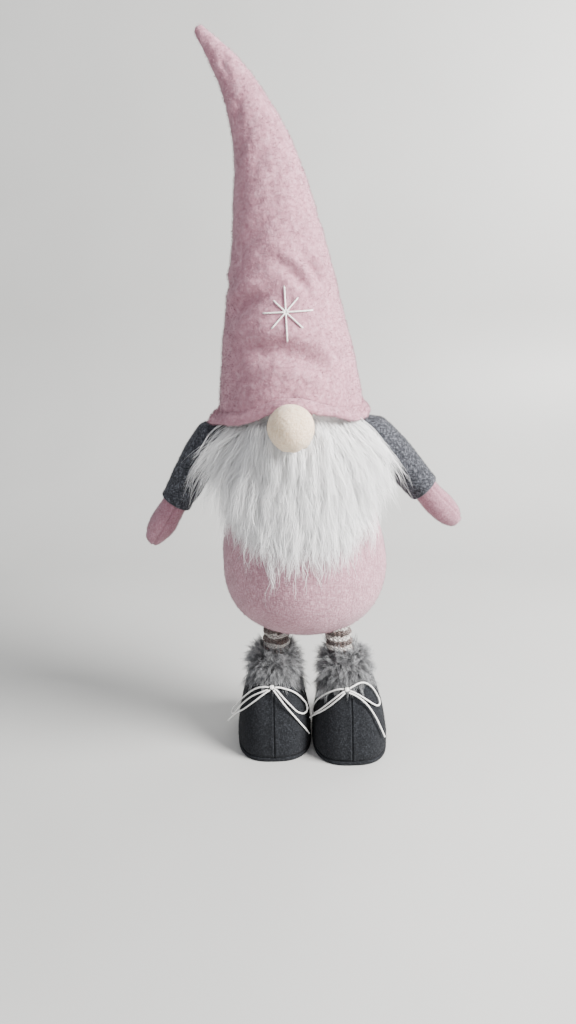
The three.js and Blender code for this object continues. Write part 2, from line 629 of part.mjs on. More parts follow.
function addLeg(side) {
  const { name, legY, knot, laces } = side;
  const leg = new THREE.Group();
  leg.applyMatrix4(legMatrix(side));
  gnome.add(leg);
  const along = (geometry) => solid(geometry, legMatrix(side));
  const named = (piece) => `${name}_${piece}`;

  // Telescopic leg: an outer tube fixed in the body, and an inner tube that slides in a bush.
  const outerBore = TUBE.outerRadius - TUBE.outerWall;
  const bushBore = TUBE.innerRadius + GAP;
  const flangeStart = OUTER_TUBE_START - BUSH.flangeHeight;
  const outerTube = pipe(TUBE.outerRadius, outerBore, OUTER_TUBE_START + GAP, OUTER_TUBE_END);
  add(leg, named('leg_outer_tube'), MATERIALS.tube, outerTube);
  const bush = turned([
    [bushBore, flangeStart],
    [TUBE.outerRadius + BUSH.flangeWidth, flangeStart],
    [TUBE.outerRadius + BUSH.flangeWidth, OUTER_TUBE_START],
    [outerBore - GAP, OUTER_TUBE_START],
    [outerBore - GAP, OUTER_TUBE_START + BUSH.sleeveLength],
    [bushBore, OUTER_TUBE_START + BUSH.sleeveLength],
  ]);
  add(leg, named('leg_bush'), MATERIALS.bush, bush);
  const innerBore = TUBE.innerRadius - TUBE.innerWall;
  const innerTube = pipe(TUBE.innerRadius, innerBore, footStart(side), INNER_TUBE_END);
  add(leg, named('leg_inner_tube'), MATERIALS.tube, innerTube);
  const collarStart = INNER_TUBE_END - STOP_COLLAR.fromEnd;
  const collar = pipe(outerBore - GAP, TUBE.innerRadius + GAP, collarStart, collarStart + STOP_COLLAR.length);
  add(leg, named('leg_stop_collar'), MATERIALS.bush, collar);
  const sock = pipe(SOCK_RADIUS, TUBE.innerRadius + 2 * GAP, SOCK_START, flangeStart - GAP);
  add(leg, named('sock'), MATERIALS.sockKnit, sock);

  // Boot: sole, insole board with the tube's socket, weight bag, stuffing and felt upper.
  const upperZ = SOLE_THICKNESS + GAP;
  const weightZ = INSOLE_TOP + GAP;
  const weightTop = weightZ + WEIGHT.height;
  add(gnome, named('boot_sole'), MATERIALS.bootFelt, plate(side, 0, SOLE_THICKNESS, 0));
  add(gnome, named('insole_board'), MATERIALS.board, plate(side, upperZ + GAP, INSOLE_TOP, INSOLE.inset));
  const socketBore = TUBE.innerRadius + GAP;
  const socketEnd = footStart(side) + SOCKET.length;
  const socket = pipe(SOCKET.radius, socketBore, footStart(side), socketEnd);
  add(leg, named('ankle_socket'), MATERIALS.bush, socket);
  const weight = cut(
    bootSolid(side, weightZ, weightTop, WEIGHT.inset, [0, 0.5, 1]),
    along(rod(SOCKET.radius + GAP, 0, 2 * weightTop)),
  );
  add(gnome, named('boot_weight_bag'), MATERIALS.weightBag, weight);
  const sockDip = SOCK_RADIUS * Math.sin(Math.abs(legLean(side)));
  const stuffingTop = SOCK_START * Math.cos(legLean(side)) - sockDip - GAP;
  const stuffing = cut(
    bootSolid(side, weightTop + GAP, stuffingTop, FELT + 2 * GAP, [0, 0.5, 0.8, 1]),
    along(rod(socketBore, 0, 2 * BOOT.topZ)),
    along(rod(SOCKET.radius + GAP, 0, socketEnd + GAP)),
  );
  add(gnome, named('boot_stuffing'), MATERIALS.stuffing, stuffing);
  const upper = cut(
    bootSolid(side, upperZ, BOOT.topZ, 0),
    bootSolid(side, upperZ - FELT, BOOT.topZ - FELT, FELT),
    along(rod(SOCK_RADIUS + 2 * GAP, SOCK_START - 4, BOOT.topZ + 10)),
  );
  add(gnome, named('boot_upper'), MATERIALS.bootFelt, upper);

  // Fur cuff around the ankle, standing on the boot.
  const cuffZ = BOOT.topZ + 2 * GAP;
  const cuffHeight = FUR_CUFF_TOP_Z - cuffZ;
  const rings = FUR_CUFF_PROFILE.map(([radius, share]) => {
    const z = cuffZ + share * cuffHeight;
    const centre = new THREE.Vector3(side.bootX + CUFF_FOLLOW * z * Math.tan(legLean(side)), legY, z);
    return ring(centre, ACROSS, DEEP, 20, radius, radius);
  });
  const cuff = cut(solid(loft(rings)), along(rod(SOCK_RADIUS + 2 * GAP, 0, 2 * FUR_CUFF_TOP_Z)));
  add(gnome, named('fur_cuff'), MATERIALS.greyFur, cuff);

  // Bootlace bow: a knot, two loops and two tails.
  add(gnome, named('bootlace_knot'), MATERIALS.yarn, ball(KNOT_RADIUS, knot, 10, 7));
  const knotRoom = solid(ball(KNOT_RADIUS + GAP, knot, 10, 7));
  for (const [piece, points] of Object.entries(laces)) {
    const lace = solid(strand(points, LACE_RADIUS, LACE_SIDES, LACE_STEP)).subtract(knotRoom);
    add(gnome, named(`bootlace_${piece}`), MATERIALS.yarn, lace);
  }
}

// ---- Arms ----

// Rings along +X between two positions, the radius given by a function of the position.
function armLoft(start, end, steps, radiusAt, flatness = 1) {
  const rings = [];
  for (let i = 0; i <= steps; i++) {
    const x = lerp(start, end, i / steps);
    const radius = radiusAt(x);
    rings.push(ring(new THREE.Vector3(x, 0, 0), DOWN, DEEP, ARM_SIDES, radius, radius * flatness));
  }
  return solid(loft(rings));
}

function addArm(side) {
  const named = (piece) => `${side.name}_${piece}`;
  const turn = side.sign > 0 ? side.armDrop : 180 - side.armDrop;
  const arm = new THREE.Group();
  arm.position.set(...side.shoulder);
  arm.rotation.y = radians(turn);
  gnome.add(arm);

  const shoulder = (inset) => solid(ball(ARM.shoulderRadius - inset, [0, 0, 0], ARM_SIDES, 8));
  const sleeve = (inset, end) => armLoft(0, end, 4, (x) => sleeveRadius(x) - inset).add(shoulder(inset));

  // The shoulder wire enters at the pivot, and the slot gives it room as the arm swings.
  const [lowered, raised] = ARM.range;
  const toBody = side.sign > 0 ? 180 + turn : turn;
  const swing = side.sign > 0 ? [toBody - raised, toBody - lowered] : [toBody + lowered, toBody + raised];
  const wireSlot = slot(2 * ARM.shoulderRadius, swing[0] - SLOT_MARGIN, swing[1] + SLOT_MARGIN);

  const sleeveCover = cut(sleeve(0, ARM.sleeveLength), sleeve(FELT, ARM.sleeveLength + FELT), wireSlot);
  add(arm, named('sleeve'), MATERIALS.sleeveFelt, sleeveCover);

  const wireRoom = solid(strand([[0, 0, 0], [ARM_WIRE_END + GAP, 0, 0]], WIRE_RADIUS + GAP, 8, 500));
  const sleeveStuffing = cut(sleeve(FELT + GAP, HAND_START - GAP), wireSlot, wireRoom);
  add(arm, named('arm_stuffing'), MATERIALS.stuffing, sleeveStuffing);
  const wire = strand([[2 * GAP, 0, 0], [ARM_WIRE_END, 0, 0]], WIRE_RADIUS, 8, 500);
  add(arm, named('arm_wire'), MATERIALS.wire, wire);

  const handLength = ARM.length - HAND_START;
  const hand = (inset, extend) => {
    const rings = HAND_PROFILE.map(([share, radius], i) => {
      const x = HAND_START + share * (handLength - inset) - (i === 0 ? extend : 0);
      const slim = Math.max(radius * HAND_RADIUS - inset, 0.4);
      return ring(new THREE.Vector3(x, 0, 0), DOWN, DEEP, ARM_SIDES, slim, slim * HAND_FLATNESS);
    });
    return solid(loft(rings));
  };
  add(arm, named('hand_cover'), MATERIALS.handFelt, cut(hand(0, 0), hand(HAND_FELT, 2)));
  add(arm, named('hand_stuffing'), MATERIALS.stuffing, cut(hand(HAND_FELT + GAP, 0), wireRoom));
}

addBody();
addFace();
addHat();
addStar();
SIDES.forEach(addLeg);
SIDES.forEach(addArm);

export default gnome;
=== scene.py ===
"""Looks of a standing felt gnome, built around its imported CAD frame.

Metres, +Z up. The gnome faces -Y, and its left is on +X.
"""
import itertools
import json
import math

import bpy
import numpy as np
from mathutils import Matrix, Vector
from mathutils.bvhtree import BVHTree


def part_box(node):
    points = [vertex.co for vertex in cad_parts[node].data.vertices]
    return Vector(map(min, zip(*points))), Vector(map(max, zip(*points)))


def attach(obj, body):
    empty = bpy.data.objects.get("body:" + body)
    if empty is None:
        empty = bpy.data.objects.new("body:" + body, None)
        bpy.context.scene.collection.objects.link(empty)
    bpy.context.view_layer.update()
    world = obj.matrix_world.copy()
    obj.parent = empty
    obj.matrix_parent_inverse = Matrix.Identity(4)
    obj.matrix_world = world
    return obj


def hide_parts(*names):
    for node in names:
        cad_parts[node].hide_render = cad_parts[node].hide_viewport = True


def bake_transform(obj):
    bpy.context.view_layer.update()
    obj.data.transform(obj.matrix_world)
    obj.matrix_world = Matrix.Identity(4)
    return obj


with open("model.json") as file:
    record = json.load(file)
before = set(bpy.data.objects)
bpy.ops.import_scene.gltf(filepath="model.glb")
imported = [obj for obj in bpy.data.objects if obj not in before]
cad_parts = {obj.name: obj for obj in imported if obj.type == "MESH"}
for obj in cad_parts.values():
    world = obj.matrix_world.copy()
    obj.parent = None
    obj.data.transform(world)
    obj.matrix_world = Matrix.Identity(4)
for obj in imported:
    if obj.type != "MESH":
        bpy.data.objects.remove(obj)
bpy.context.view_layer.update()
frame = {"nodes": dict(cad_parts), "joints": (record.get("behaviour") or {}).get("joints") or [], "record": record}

MM = 0.001
AXIS_Y = 15 * MM  # the body's axis, behind the origin
SIDES = ("right", "left")
SIGN = {"right": -1, "left": 1}  # along X
JOINTS = {joint["name"]: joint for joint in frame["joints"]}
SHOULDER = {s: JOINTS[f"{s}_arm_bend"]["pos_m"] for s in SIDES}



def hump(away, width=1):
    """A smooth bump: 1 in its middle, falling off over a width."""
    return np.exp(-((away / width) ** 2))


def sewn_seam(away, ridge, ridge_width, groove, groove_width):
    """How far felt stands out near a seam: swelling on both sides, pulled in along it."""
    return ridge * hump(away, ridge_width) - groove * hump(away, groove_width)


# ---- Camera ----

CAMERA_PLACE = (-0.012, -0.611, 0.419)
CAMERA_PITCH = math.radians(17.4)  # down
CAMERA_ROLL = math.radians(1.2)
CAMERA_LENS = 27.07  # mm, with a sensor 36 mm tall


def make_camera():
    data = bpy.data.cameras.new("camera")
    data.sensor_fit = "VERTICAL"
    data.sensor_height = 36
    data.lens = CAMERA_LENS
    data.clip_start = 0.01
    camera = bpy.data.objects.new("camera", data)
    camera.location = CAMERA_PLACE
    camera.rotation_mode = "ZYX"  # the roll about the camera's own axis comes first
    camera.rotation_euler = (math.pi / 2 - CAMERA_PITCH, 0, -CAMERA_ROLL)
    bpy.context.scene.collection.objects.link(camera)
    bpy.context.scene.camera = camera


make_camera()

# ---- Noise and meshes ----


def smooth_noise(points, size, seed=0):
    """Value noise from -1 to 1, with features about size metres across."""
    scaled = np.asarray(points, float) / size
    cell = np.floor(scaled)
    share = scaled - cell
    share = share * share * (3 - 2 * share)
    total = np.zeros(scaled.shape[:-1])
    for corner in itertools.product((0, 1), repeat=3):
        hashed = np.sin((cell + corner) @ (12.9898, 78.233, 37.719) + 17.17 * seed) * 43758.5453
        value = 2 * (hashed - np.floor(hashed)) - 1
        total += value * np.prod(np.where(corner, share, 1 - share), axis=-1)
    return total


def smoothstep(value, low, high):
    share = np.clip((value - low) / (high - low), 0, 1)
    return share * share * (3 - 2 * share)


def unit(vectors):
    return vectors / np.maximum(np.linalg.norm(vectors, axis=-1, keepdims=True), 1e-12)


def new_object(name, co, triangles, quads, material):
    """A mesh object from arrays of corners, triangles and quads."""
    mesh = bpy.data.meshes.new(name)
    triangles = np.asarray(triangles, np.int32).reshape(-1, 3)
    quads = np.asarray(quads, np.int32).reshape(-1, 4)
    mesh.vertices.add(len(co))
    mesh.vertices.foreach_set("co", np.asarray(co, np.float32).ravel())
    loops = np.concatenate([quads.ravel(), triangles.ravel()])
    mesh.loops.add(len(loops))
    mesh.loops.foreach_set("vertex_index", loops)
    sizes = np.concatenate([np.full(len(quads), 4), np.full(len(triangles), 3)])
    mesh.polygons.add(len(sizes))
    starts = np.concatenate([[0], np.cumsum(sizes)[:-1]])
    mesh.polygons.foreach_set("loop_start", starts.astype(np.int32))
    mesh.update(calc_edges=True)
    mesh.validate()
    mesh.polygons.foreach_set("use_smooth", np.full(len(sizes), True))
    mesh.materials.append(material)
    obj = bpy.data.objects.new(name, mesh)
    bpy.context.scene.collection.objects.link(obj)
    return obj


def set_uv(obj, uv, name):
    """UVs from one (u, v) per vertex."""
    layer = obj.data.uv_layers.new(name=name)
    corner = np.empty(len(obj.data.loops), np.int32)
    obj.data.loops.foreach_get("vertex_index", corner)
    layer.data.foreach_set("uv", np.asarray(uv, np.float32)[corner].ravel())


def grid_normals(grid):
    """Outward normals of rows of points that go round, each row further along."""
    around = np.roll(grid, -1, axis=1) - np.roll(grid, 1, axis=1)
    along = np.gradient(grid, axis=0)
    return unit(np.cross(around, along))


def grid_object(name, grid, material, caps=(True, True), uv=None):
    """A surface through rows of points that go round, with a fan over each end that is capped."""
    rows, columns = grid.shape[:2]
    co = grid.reshape(-1, 3)
    index = np.arange(rows * columns).reshape(rows, columns)
    following = np.roll(index, -1, axis=1)
    quads = np.stack([index[:-1], following[:-1], following[1:], index[1:]], axis=-1).reshape(-1, 4)
    triangles = []
    for row, capped in ((0, caps[0]), (rows - 1, caps[1])):
        if not capped:
            continue
        hub = len(co)
        co = np.vstack([co, grid[row].mean(axis=0)])
        edge = np.stack([index[row], following[row]], axis=-1)
        if row == 0:
            edge = edge[:, ::-1]
        triangles.append(np.column_stack([edge, np.full(columns, hub)]))
    obj = new_object(name, co, np.concatenate(triangles) if triangles else [], quads, material)
    if uv:
        v, u = np.meshgrid(np.linspace(0, 1, rows), np.linspace(0, 1, columns), indexing="ij")
        flat = np.stack([np.abs(2 * u - 1), v], axis=-1).reshape(-1, 2)
        ends = [[0, 0]] * (len(co) - len(flat))
        set_uv(obj, np.vstack([flat, ends]) if ends else flat, uv)
    return obj


def oval_rows(centres, rights, half_widths, half_depths, angles):
    """Rows of points round centres: rights across, the Y axis deep."""
    grid = centres[:, None, :] + rights[:, None, :] * (half_widths[:, None] * np.cos(angles))[:, :, None]
    grid[:, :, 1] += np.asarray(half_depths)[:, None] * np.sin(angles)
    return grid


def ring_angles(columns, crowding):
    """Angles once round, from 0, closer together in front and behind, where the seams are."""
    even = 2 * math.pi * np.arange(columns) / columns
    return even + 0.5 * crowding * np.sin(2 * even)


def catmull_rom(points, shares):
    """Points at shares 0 to 1 of a smooth curve through the given points."""
    points = np.asarray(points, float)
    ends = (2 * points[0] - points[1], 2 * points[-1] - points[-2])
    padded = np.vstack([ends[0], points, ends[1]])
    place = np.clip(np.asarray(shares), 0, 1) * (len(points) - 1)
    first = np.minimum(place.astype(int), len(points) - 2)
    t = (place - first)[:, None]
    a, b, c, d = (padded[first + i] for i in range(4))
    curve = 2 * b + (c - a) * t
    curve += (2 * a - 5 * b + 4 * c - d) * t**2
    curve += (3 * b - a - 3 * c + d) * t**3
    return 0.5 * curve


STRAND_SIDES = 3


def strand_mesh(name, curves, radii, material, seed):
    """Hairs: each a tapered three-sided tube along its curve, ending in a point."""
    count, steps = curves.shape[:2]
    rng = np.random.default_rng(seed)
    along = unit(np.gradient(curves, axis=1))
    spin = unit(rng.normal(size=(count, 1, 3)))
    side = unit(np.cross(along, spin))
    other = np.cross(along, side)
    angles = 2 * math.pi * np.arange(STRAND_SIDES) / STRAND_SIDES
    rings = curves[:, :-1, None] + radii[:, :-1, None, None] * (
        side[:, :-1, None] * np.cos(angles)[:, None] + other[:, :-1, None] * np.sin(angles)[:, None]
    )
    per = (steps - 1) * STRAND_SIDES + 1
    co = np.concatenate([rings.reshape(count, -1, 3), curves[:, -1:]], axis=1).reshape(-1, 3)
    start = per * np.arange(count)[:, None]
    ring = np.arange((steps - 2) * STRAND_SIDES).reshape(steps - 2, STRAND_SIDES)
    following = np.roll(ring, -1, axis=1)
    quad = np.stack([ring, following, following + STRAND_SIDES, ring + STRAND_SIDES], axis=-1)
    last = (steps - 2) * STRAND_SIDES + np.arange(STRAND_SIDES)
    tip = np.column_stack([last, np.roll(last, -1), np.full(STRAND_SIDES, per - 1)])
    root = np.array([[2, 1, 0]])
    triangles = np.concatenate([tip, root])
    obj = new_object(
        name,
        co,
        (start[:, :, None] + triangles).reshape(-1, 3),
        (start[:, :, None] + quad.reshape(-1, 4)).reshape(-1, 4),
        material,
    )
    v = np.concatenate([np.repeat(np.linspace(0, 1, steps)[:-1], STRAND_SIDES), [1]])
    u = (np.arange(count) + 0.5) / count
    uv = np.stack(np.broadcast_arrays(u[:, None], v[None]), axis=-1)
    set_uv(obj, uv.reshape(-1, 2), "OFBake")
    return obj


def join(objects):
    """Joins mesh objects into the first of them."""
    first = objects[0]
    context = {"active_object": first, "object": first, "selected_editable_objects": objects}
    with bpy.context.temp_override(**context):
        bpy.ops.object.join()
    return first


NAP_LIE = 0.8  # how far the nap lies over, as a share of its length


def fibres(obj, count, length, radius, material, seed):
    """A nap of short bent hairs on a mesh object, joined into it."""
    mesh = obj.data
    mesh.calc_loop_triangles()
    co = np.array([v.co for v in mesh.vertices], float)
    corners = np.empty(3 * len(mesh.loop_triangles), np.int32)
    mesh.loop_triangles.foreach_get("vertices", corners)
    a, b, c = (co[corners.reshape(-1, 3)[:, i]] for i in range(3))
    cross = np.cross(b - a, c - a)
    area = np.linalg.norm(cross, axis=1)
    rng = np.random.default_rng(seed)
    picked = rng.choice(len(area), count, p=area / area.sum())
    r, s = rng.random((2, count, 1))
    flip = r + s > 1
    r, s = np.where(flip, 1 - r, r), np.where(flip, 1 - s, s)
    root = a[picked] + r * (b - a)[picked] + s * (c - a)[picked]
    normal = unit(cross)[picked]
    sideways = unit(np.cross(normal, unit(rng.normal(size=normal.shape))))
    reach = length * rng.uniform(0.5, 1.3, (len(root), 1))
    middle = root + reach * (0.45 * normal + 0.35 * NAP_LIE * sideways)
    tip = root + reach * (0.6 * normal + NAP_LIE * sideways)
    curves = np.stack([root - 0.2 * reach * normal, middle, tip], axis=1)
    thick = np.tile([radius, 0.8 * radius, 0], (len(root), 1))
    nap = strand_mesh(obj.name + "_nap", curves, thick, material, seed)
    join([obj, nap])


# ---- Materials ----

SOCK_WALES, SOCK_COURSES = 18, 27  # columns of stitches round the sock, and rows along it
SOCK_STRIPES = 6.7  # pairs of stripes along it


class Nodes:
    """A material's node tree, with short calls for the nodes used here."""

    def __init__(self, name, roughness=0.95, sheen=0.0, metallic=0.0, specular=0.2):
        self.material = bpy.data.materials.new(name)
        self.material.use_nodes = True
        self.tree = self.material.node_tree
        self.shader = self.tree.nodes["Principled BSDF"]
        self.shader.inputs["Roughness"].default_value = roughness
        self.shader.inputs["Sheen Weight"].default_value = sheen
        self.shader.inputs["Sheen Roughness"].default_value = 0.6
        self.shader.inputs["Metallic"].default_value = metallic
        self.shader.inputs["Specular IOR Level"].default_value = specular
        self.place = self.tree.nodes.new("ShaderNodeTexCoord").outputs["Object"]

    def node(self, kind, inputs=(), **settings):
        made = self.tree.nodes.new("ShaderNode" + kind)
        for key, value in settings.items():
            setattr(made, key, value)
        for key, value in dict(inputs).items():
            if isinstance(value, bpy.types.NodeSocket):
                self.tree.links.new(value, made.inputs[key])
            else:
                made.inputs[key].default_value = value
        return made

    def uv(self, name):
        return self.node("UVMap", uv_map=name).outputs["UV"]

    def stretched(self, scale, turn=(0, 0, 0), place=None):
        inputs = {"Vector": place or self.place, "Scale": scale, "Rotation": turn}
        return self.node("Mapping", inputs).outputs["Vector"]

    def noise(self, place, scale, detail=3.0, rough=0.6):
        inputs = {"Vector": place, "Scale": scale, "Detail": detail, "Roughness": rough}
        return self.node("TexNoise", inputs).outputs["Fac"]

    def math(self, operation, a, b=0.0):
        return self.node("Math", {0: a, 1: b}, operation=operation).outputs[0]

    def ramp(self, value, stops):
        made = self.node("ValToRGB", {"Fac": value})
        ramp = made.color_ramp
        while len(ramp.elements) < len(stops):
            ramp.elements.new(0.5)
        for element, (position, color) in zip(ramp.elements, stops):
            element.position = position
            element.color = (*color, 1)
        return made.outputs["Color"]

    def mix(self, factor, a, b, blend="MIX"):
        made = self.node("Mix", data_type="RGBA", blend_type=blend)
        for key, value in ((0, factor), (6, a), (7, b)):
            if isinstance(value, bpy.types.NodeSocket):
                self.tree.links.new(value, made.inputs[key])
            else:
                made.inputs[key].default_value = value if key == 0 else (*value, 1)
        return made.outputs[2]

    def color(self, socket):
        self.tree.links.new(socket, self.shader.inputs["Base Color"])

    def bump(self, height, distance, strength=1.0):
        made = self.node("Bump", {"Height": height, "Distance": distance, "Strength": strength})
        self.tree.links.new(made.outputs["Normal"], self.shader.inputs["Normal"])


def felt(
    name, dark, base, light, fibre,
    blotch=12 * MM, contrast=1.0, sheen=0.25, relief=0.5 * MM, combed=0.3,
):
    """Felt: fibres crossing in two directions, lighter and darker wool, and soft blotches."""
    n = Nodes(name, sheen=sheen)
    scale = 1 / fibre
    lying = n.noise(n.stretched((combed, 1, 1), (0.3, 0.5, 0.6)), scale)
    crossing = n.noise(n.stretched((1, 1, combed), (0.8, 0.1, 1.1)), scale)
    wool = n.math("MULTIPLY", n.math("ADD", lying, crossing), 0.5)
    low, high = 0.5 - 0.13 / contrast, 0.5 + 0.13 / contrast
    color = n.ramp(wool, [(low, dark), (0.5, base), (high, light)])
    clouds = n.ramp(n.noise(n.place, 1 / blotch, 2), [(0.35, (0.86,) * 3), (0.65, (1,) * 3)])
    n.color(n.mix(1.0, color, clouds, "MULTIPLY"))
    pills = n.noise(n.place, 0.35 * scale, 4)
    n.bump(n.math("ADD", n.math("MULTIPLY", pills, 1.5), wool), relief)
    return n.material


def fur(name, root, middle, tip, spread, sheen):
    """Hair along its strand's v, each strand a little lighter or darker."""
    n = Nodes(name, roughness=0.6, sheen=sheen, specular=0.35)
    split = n.node("SeparateXYZ", {"Vector": n.uv("OFBake")})
    color = n.ramp(split.outputs["Y"], [(0, root), (0.4, middle), (1, tip)])
    strand = n.math("MULTIPLY", split.outputs["X"], 7919)
    odd = n.node("TexWhiteNoise", {"W": strand}, noise_dimensions="1D")
    shade = n.ramp(odd.outputs["Value"], [(0, (1 - spread,) * 3), (1, (1, 1, 1))])
    n.color(n.mix(1.0, color, shade, "MULTIPLY"))
    return n.material


def yarn(name, dark, light):
    """Twisted cotton yarn: fine diagonal plies and loose fuzz."""
    n = Nodes(name, roughness=0.85, sheen=0.15)
    twist = n.noise(n.stretched((1, 1, 1), (0.5, 0.4, 0.7)), 1 / (0.6 * MM), 2)
    n.color(n.ramp(twist, [(0.35, dark), (0.6, light)]))
    n.bump(twist, 0.25 * MM)
    return n.material


def knit():
    """Plain knit in uneven stripes of taupe and off-white, over the mesh's own stitches, with painted shade
    between the stitch loops and painted highlight on their tops.
    """
    n = Nodes("sock_knit", sheen=0.2)
    place = n.uv("knit")
    split = n.node("SeparateXYZ", {"Vector": place})
    across, up = split.outputs["X"], split.outputs["Y"]
    wales = n.math("FRACT", n.math("MULTIPLY", across, SOCK_WALES / 2))
    wale = n.math("ABSOLUTE", n.math("SUBTRACT", wales, 0.5))
    slanted = n.math("ADD", n.math("MULTIPLY", up, SOCK_COURSES), n.math("MULTIPLY", wale, 1.3))
    loop = n.math("ABSOLUTE", n.math("SUBTRACT", n.math("FRACT", slanted), 0.5))
    rounding = n.math("ADD", n.math("MULTIPLY", wale, -1.2), 1.0)
    stitch = n.math("MULTIPLY", n.math("MULTIPLY", loop, 2), rounding)
    drift = n.math("SUBTRACT", n.noise(n.stretched((3, 9, 1), place=place), 2.0, 2), 0.5)
    wander = n.math("MULTIPLY", drift, 0.08)
    height = n.math("ADD", up, n.math("ADD", wander, n.math("MULTIPLY", wale, 0.012)))
    stripe = n.math("FRACT", n.math("MULTIPLY", height, SOCK_STRIPES))
    taupe, pale = (0.105, 0.07, 0.06), (0.56, 0.52, 0.485)
    color = n.ramp(stripe, [(0.0, taupe), (0.52, taupe), (0.6, pale), (0.93, pale), (1.0, taupe)])
    flecks = n.noise(n.place, 1 / (1.1 * MM), 3)
    # Painted shade in the hollows between stitch loops and painted highlight on the loop tops, from stitch, mixed
    # with random lighter and darker flecks of yarn, from flecks, then multiplied into the stripe colour.
    depth = n.math("ADD", n.math("MULTIPLY", stitch, 0.45), n.math("MULTIPLY", flecks, 0.75))
    shade = n.ramp(depth, [(0.28, (0.32,) * 3), (0.5, (0.85,) * 3), (0.72, (1.3,) * 3)])
    n.color(n.mix(1.0, color, shade, "MULTIPLY"))
    n.bump(n.math("ADD", n.math("MULTIPLY", stitch, 1.5), n.math("MULTIPLY", flecks, 0.6)), 1.2 * MM)
    return n.material


def wadding():
    n = Nodes("stuffing", sheen=0.3)
    tufts = n.noise(n.place, 1 / (5 * MM), 6, 0.7)
    n.color(n.ramp(tufts, [(0.3, (0.70, 0.70, 0.67)), (0.7, (0.9, 0.9, 0.88))]))
    n.bump(tufts, 2 * MM)
    return n.material


def fibreboard():
    n = Nodes("board", roughness=0.8)
    chips = n.noise(n.stretched((1, 1, 4)), 1 / (1.5 * MM), 5)
    n.color(n.ramp(chips, [(0.35, (0.24, 0.16, 0.08)), (0.65, (0.48, 0.36, 0.21))]))
    n.bump(chips, 0.2 * MM)
    return n.material


def plastic(name, color, roughness):
    n = Nodes(name, roughness=roughness, specular=0.5)
    grain = n.noise(n.place, 1 / (0.5 * MM), 2)
    darker = tuple(0.9 * c for c in color)
    n.color(n.ramp(n.noise(n.place, 1 / (9 * MM)), [(0.3, darker), (0.7, color)]))
    n.bump(grain, 0.03 * MM)
    return n.material


def steel_wire():
    n = Nodes("wire", roughness=0.35, metallic=1.0, specular=0.5)
    drawn = n.noise(n.stretched((3, 3, 0.3)), 1 / (0.3 * MM), 2)
    n.color(n.ramp(drawn, [(0.3, (0.36, 0.37, 0.38)), (0.7, (0.55, 0.56, 0.58))]))
    n.bump(drawn, 0.03 * MM)
    return n.material


def sandbag_cloth():
    n = Nodes("weight", roughness=0.9, sheen=0.1)
    warp = n.node("TexWave", {"Vector": n.place, "Scale": 1 / (2.4 * MM)}, bands_direction="X")
    weft = n.node("TexWave", {"Vector": n.place, "Scale": 1 / (2.4 * MM)}, bands_direction="Y")
    weave = n.math("MULTIPLY", n.math("ADD", warp.outputs["Fac"], weft.outputs["Fac"]), 0.5)
    n.color(n.ramp(weave, [(0.2, (0.32, 0.28, 0.2)), (0.8, (0.5, 0.45, 0.34))]))
    n.bump(weave, 0.3 * MM)
    return n.material


HAT_PINKS = ((0.29, 0.125, 0.165), (0.40, 0.195, 0.243), (0.52, 0.30, 0.352))
BODY_PINKS = ((0.26, 0.125, 0.153), (0.38, 0.20, 0.24), (0.53, 0.335, 0.376))
HAND_PINKS = ((0.25, 0.108, 0.138), (0.33, 0.157, 0.20), (0.43, 0.235, 0.28))
SLEEVE_GREYS = ((0.013, 0.014, 0.017), (0.038, 0.040, 0.048), (0.12, 0.125, 0.145))
BOOT_GREYS = ((0.004, 0.0045, 0.006), (0.008, 0.009, 0.011), (0.026, 0.028, 0.033))
NOSE_CREAMS = ((0.62, 0.45, 0.29), (0.74, 0.575, 0.41), (0.82, 0.69, 0.54))
BACKING_WHITES = ((0.93, 0.93, 0.92), (0.96, 0.96, 0.95), (0.98, 0.98, 0.97))
BACKING_GREYS = ((0.06, 0.06, 0.062), (0.10, 0.10, 0.104), (0.18, 0.18, 0.185))
BEARD_WHITES = ((0.985, 0.98, 0.975), (0.995, 0.99, 0.985), (1.0, 1.0, 1.0))
CUFF_GREYS = ((0.06, 0.061, 0.065), (0.145, 0.148, 0.154), (0.56, 0.57, 0.58))

MATERIALS = {
    "hat_felt": felt("hat_felt", *HAT_PINKS, 3.0 * MM, 16 * MM, 0.62, 0.2, 0.8 * MM, 0.6),
    "body_felt": felt("body_felt", *BODY_PINKS, 1.0 * MM, sheen=0.15),
    "hand_felt": felt("hand_felt", *HAND_PINKS, 0.9 * MM),
    "sleeve_felt": felt("sleeve_felt", *SLEEVE_GREYS, 1.2 * MM, contrast=1.2, sheen=0.06),
    "boot_felt": felt("boot_felt", *BOOT_GREYS, 0.8 * MM, sheen=0.01),
    "nose_felt": felt("nose_felt", *NOSE_CREAMS, 1.1 * MM),
    "fur_backing": felt("fur_backing", *BACKING_WHITES, 1.2 * MM),
    "cuff_backing": felt("cuff_backing", *BACKING_GREYS, 1.2 * MM),
    "beard_fur": fur("beard_fur", *BEARD_WHITES, spread=0.05, sheen=0.15),
    "cuff_fur": fur("cuff_fur", *CUFF_GREYS, spread=0.5, sheen=0.2),
    "yarn": yarn("yarn", (0.62, 0.60, 0.56), (0.93, 0.92, 0.90)),
    "sock_knit": knit(),
    "stuffing": wadding(),
    "board": fibreboard(),
    "tube": plastic("tube", (0.48, 0.49, 0.5), 0.45),
    "bush": plastic("bush", (0.07, 0.075, 0.08), 0.5),
    "wire": steel_wire(),
    "weight": sandbag_cloth(),
}


def finish_piece(obj, body, slot, *replaced):
    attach(obj, body)
    if replaced:
        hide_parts(*replaced)
    return obj


# ---- Bootlaces ----

LACE_DIAMETER = 1.4 * MM
KNOT = {"right": (-29.6, -20.3, 66.4), "left": (36.6, -27.4, 66.8)}
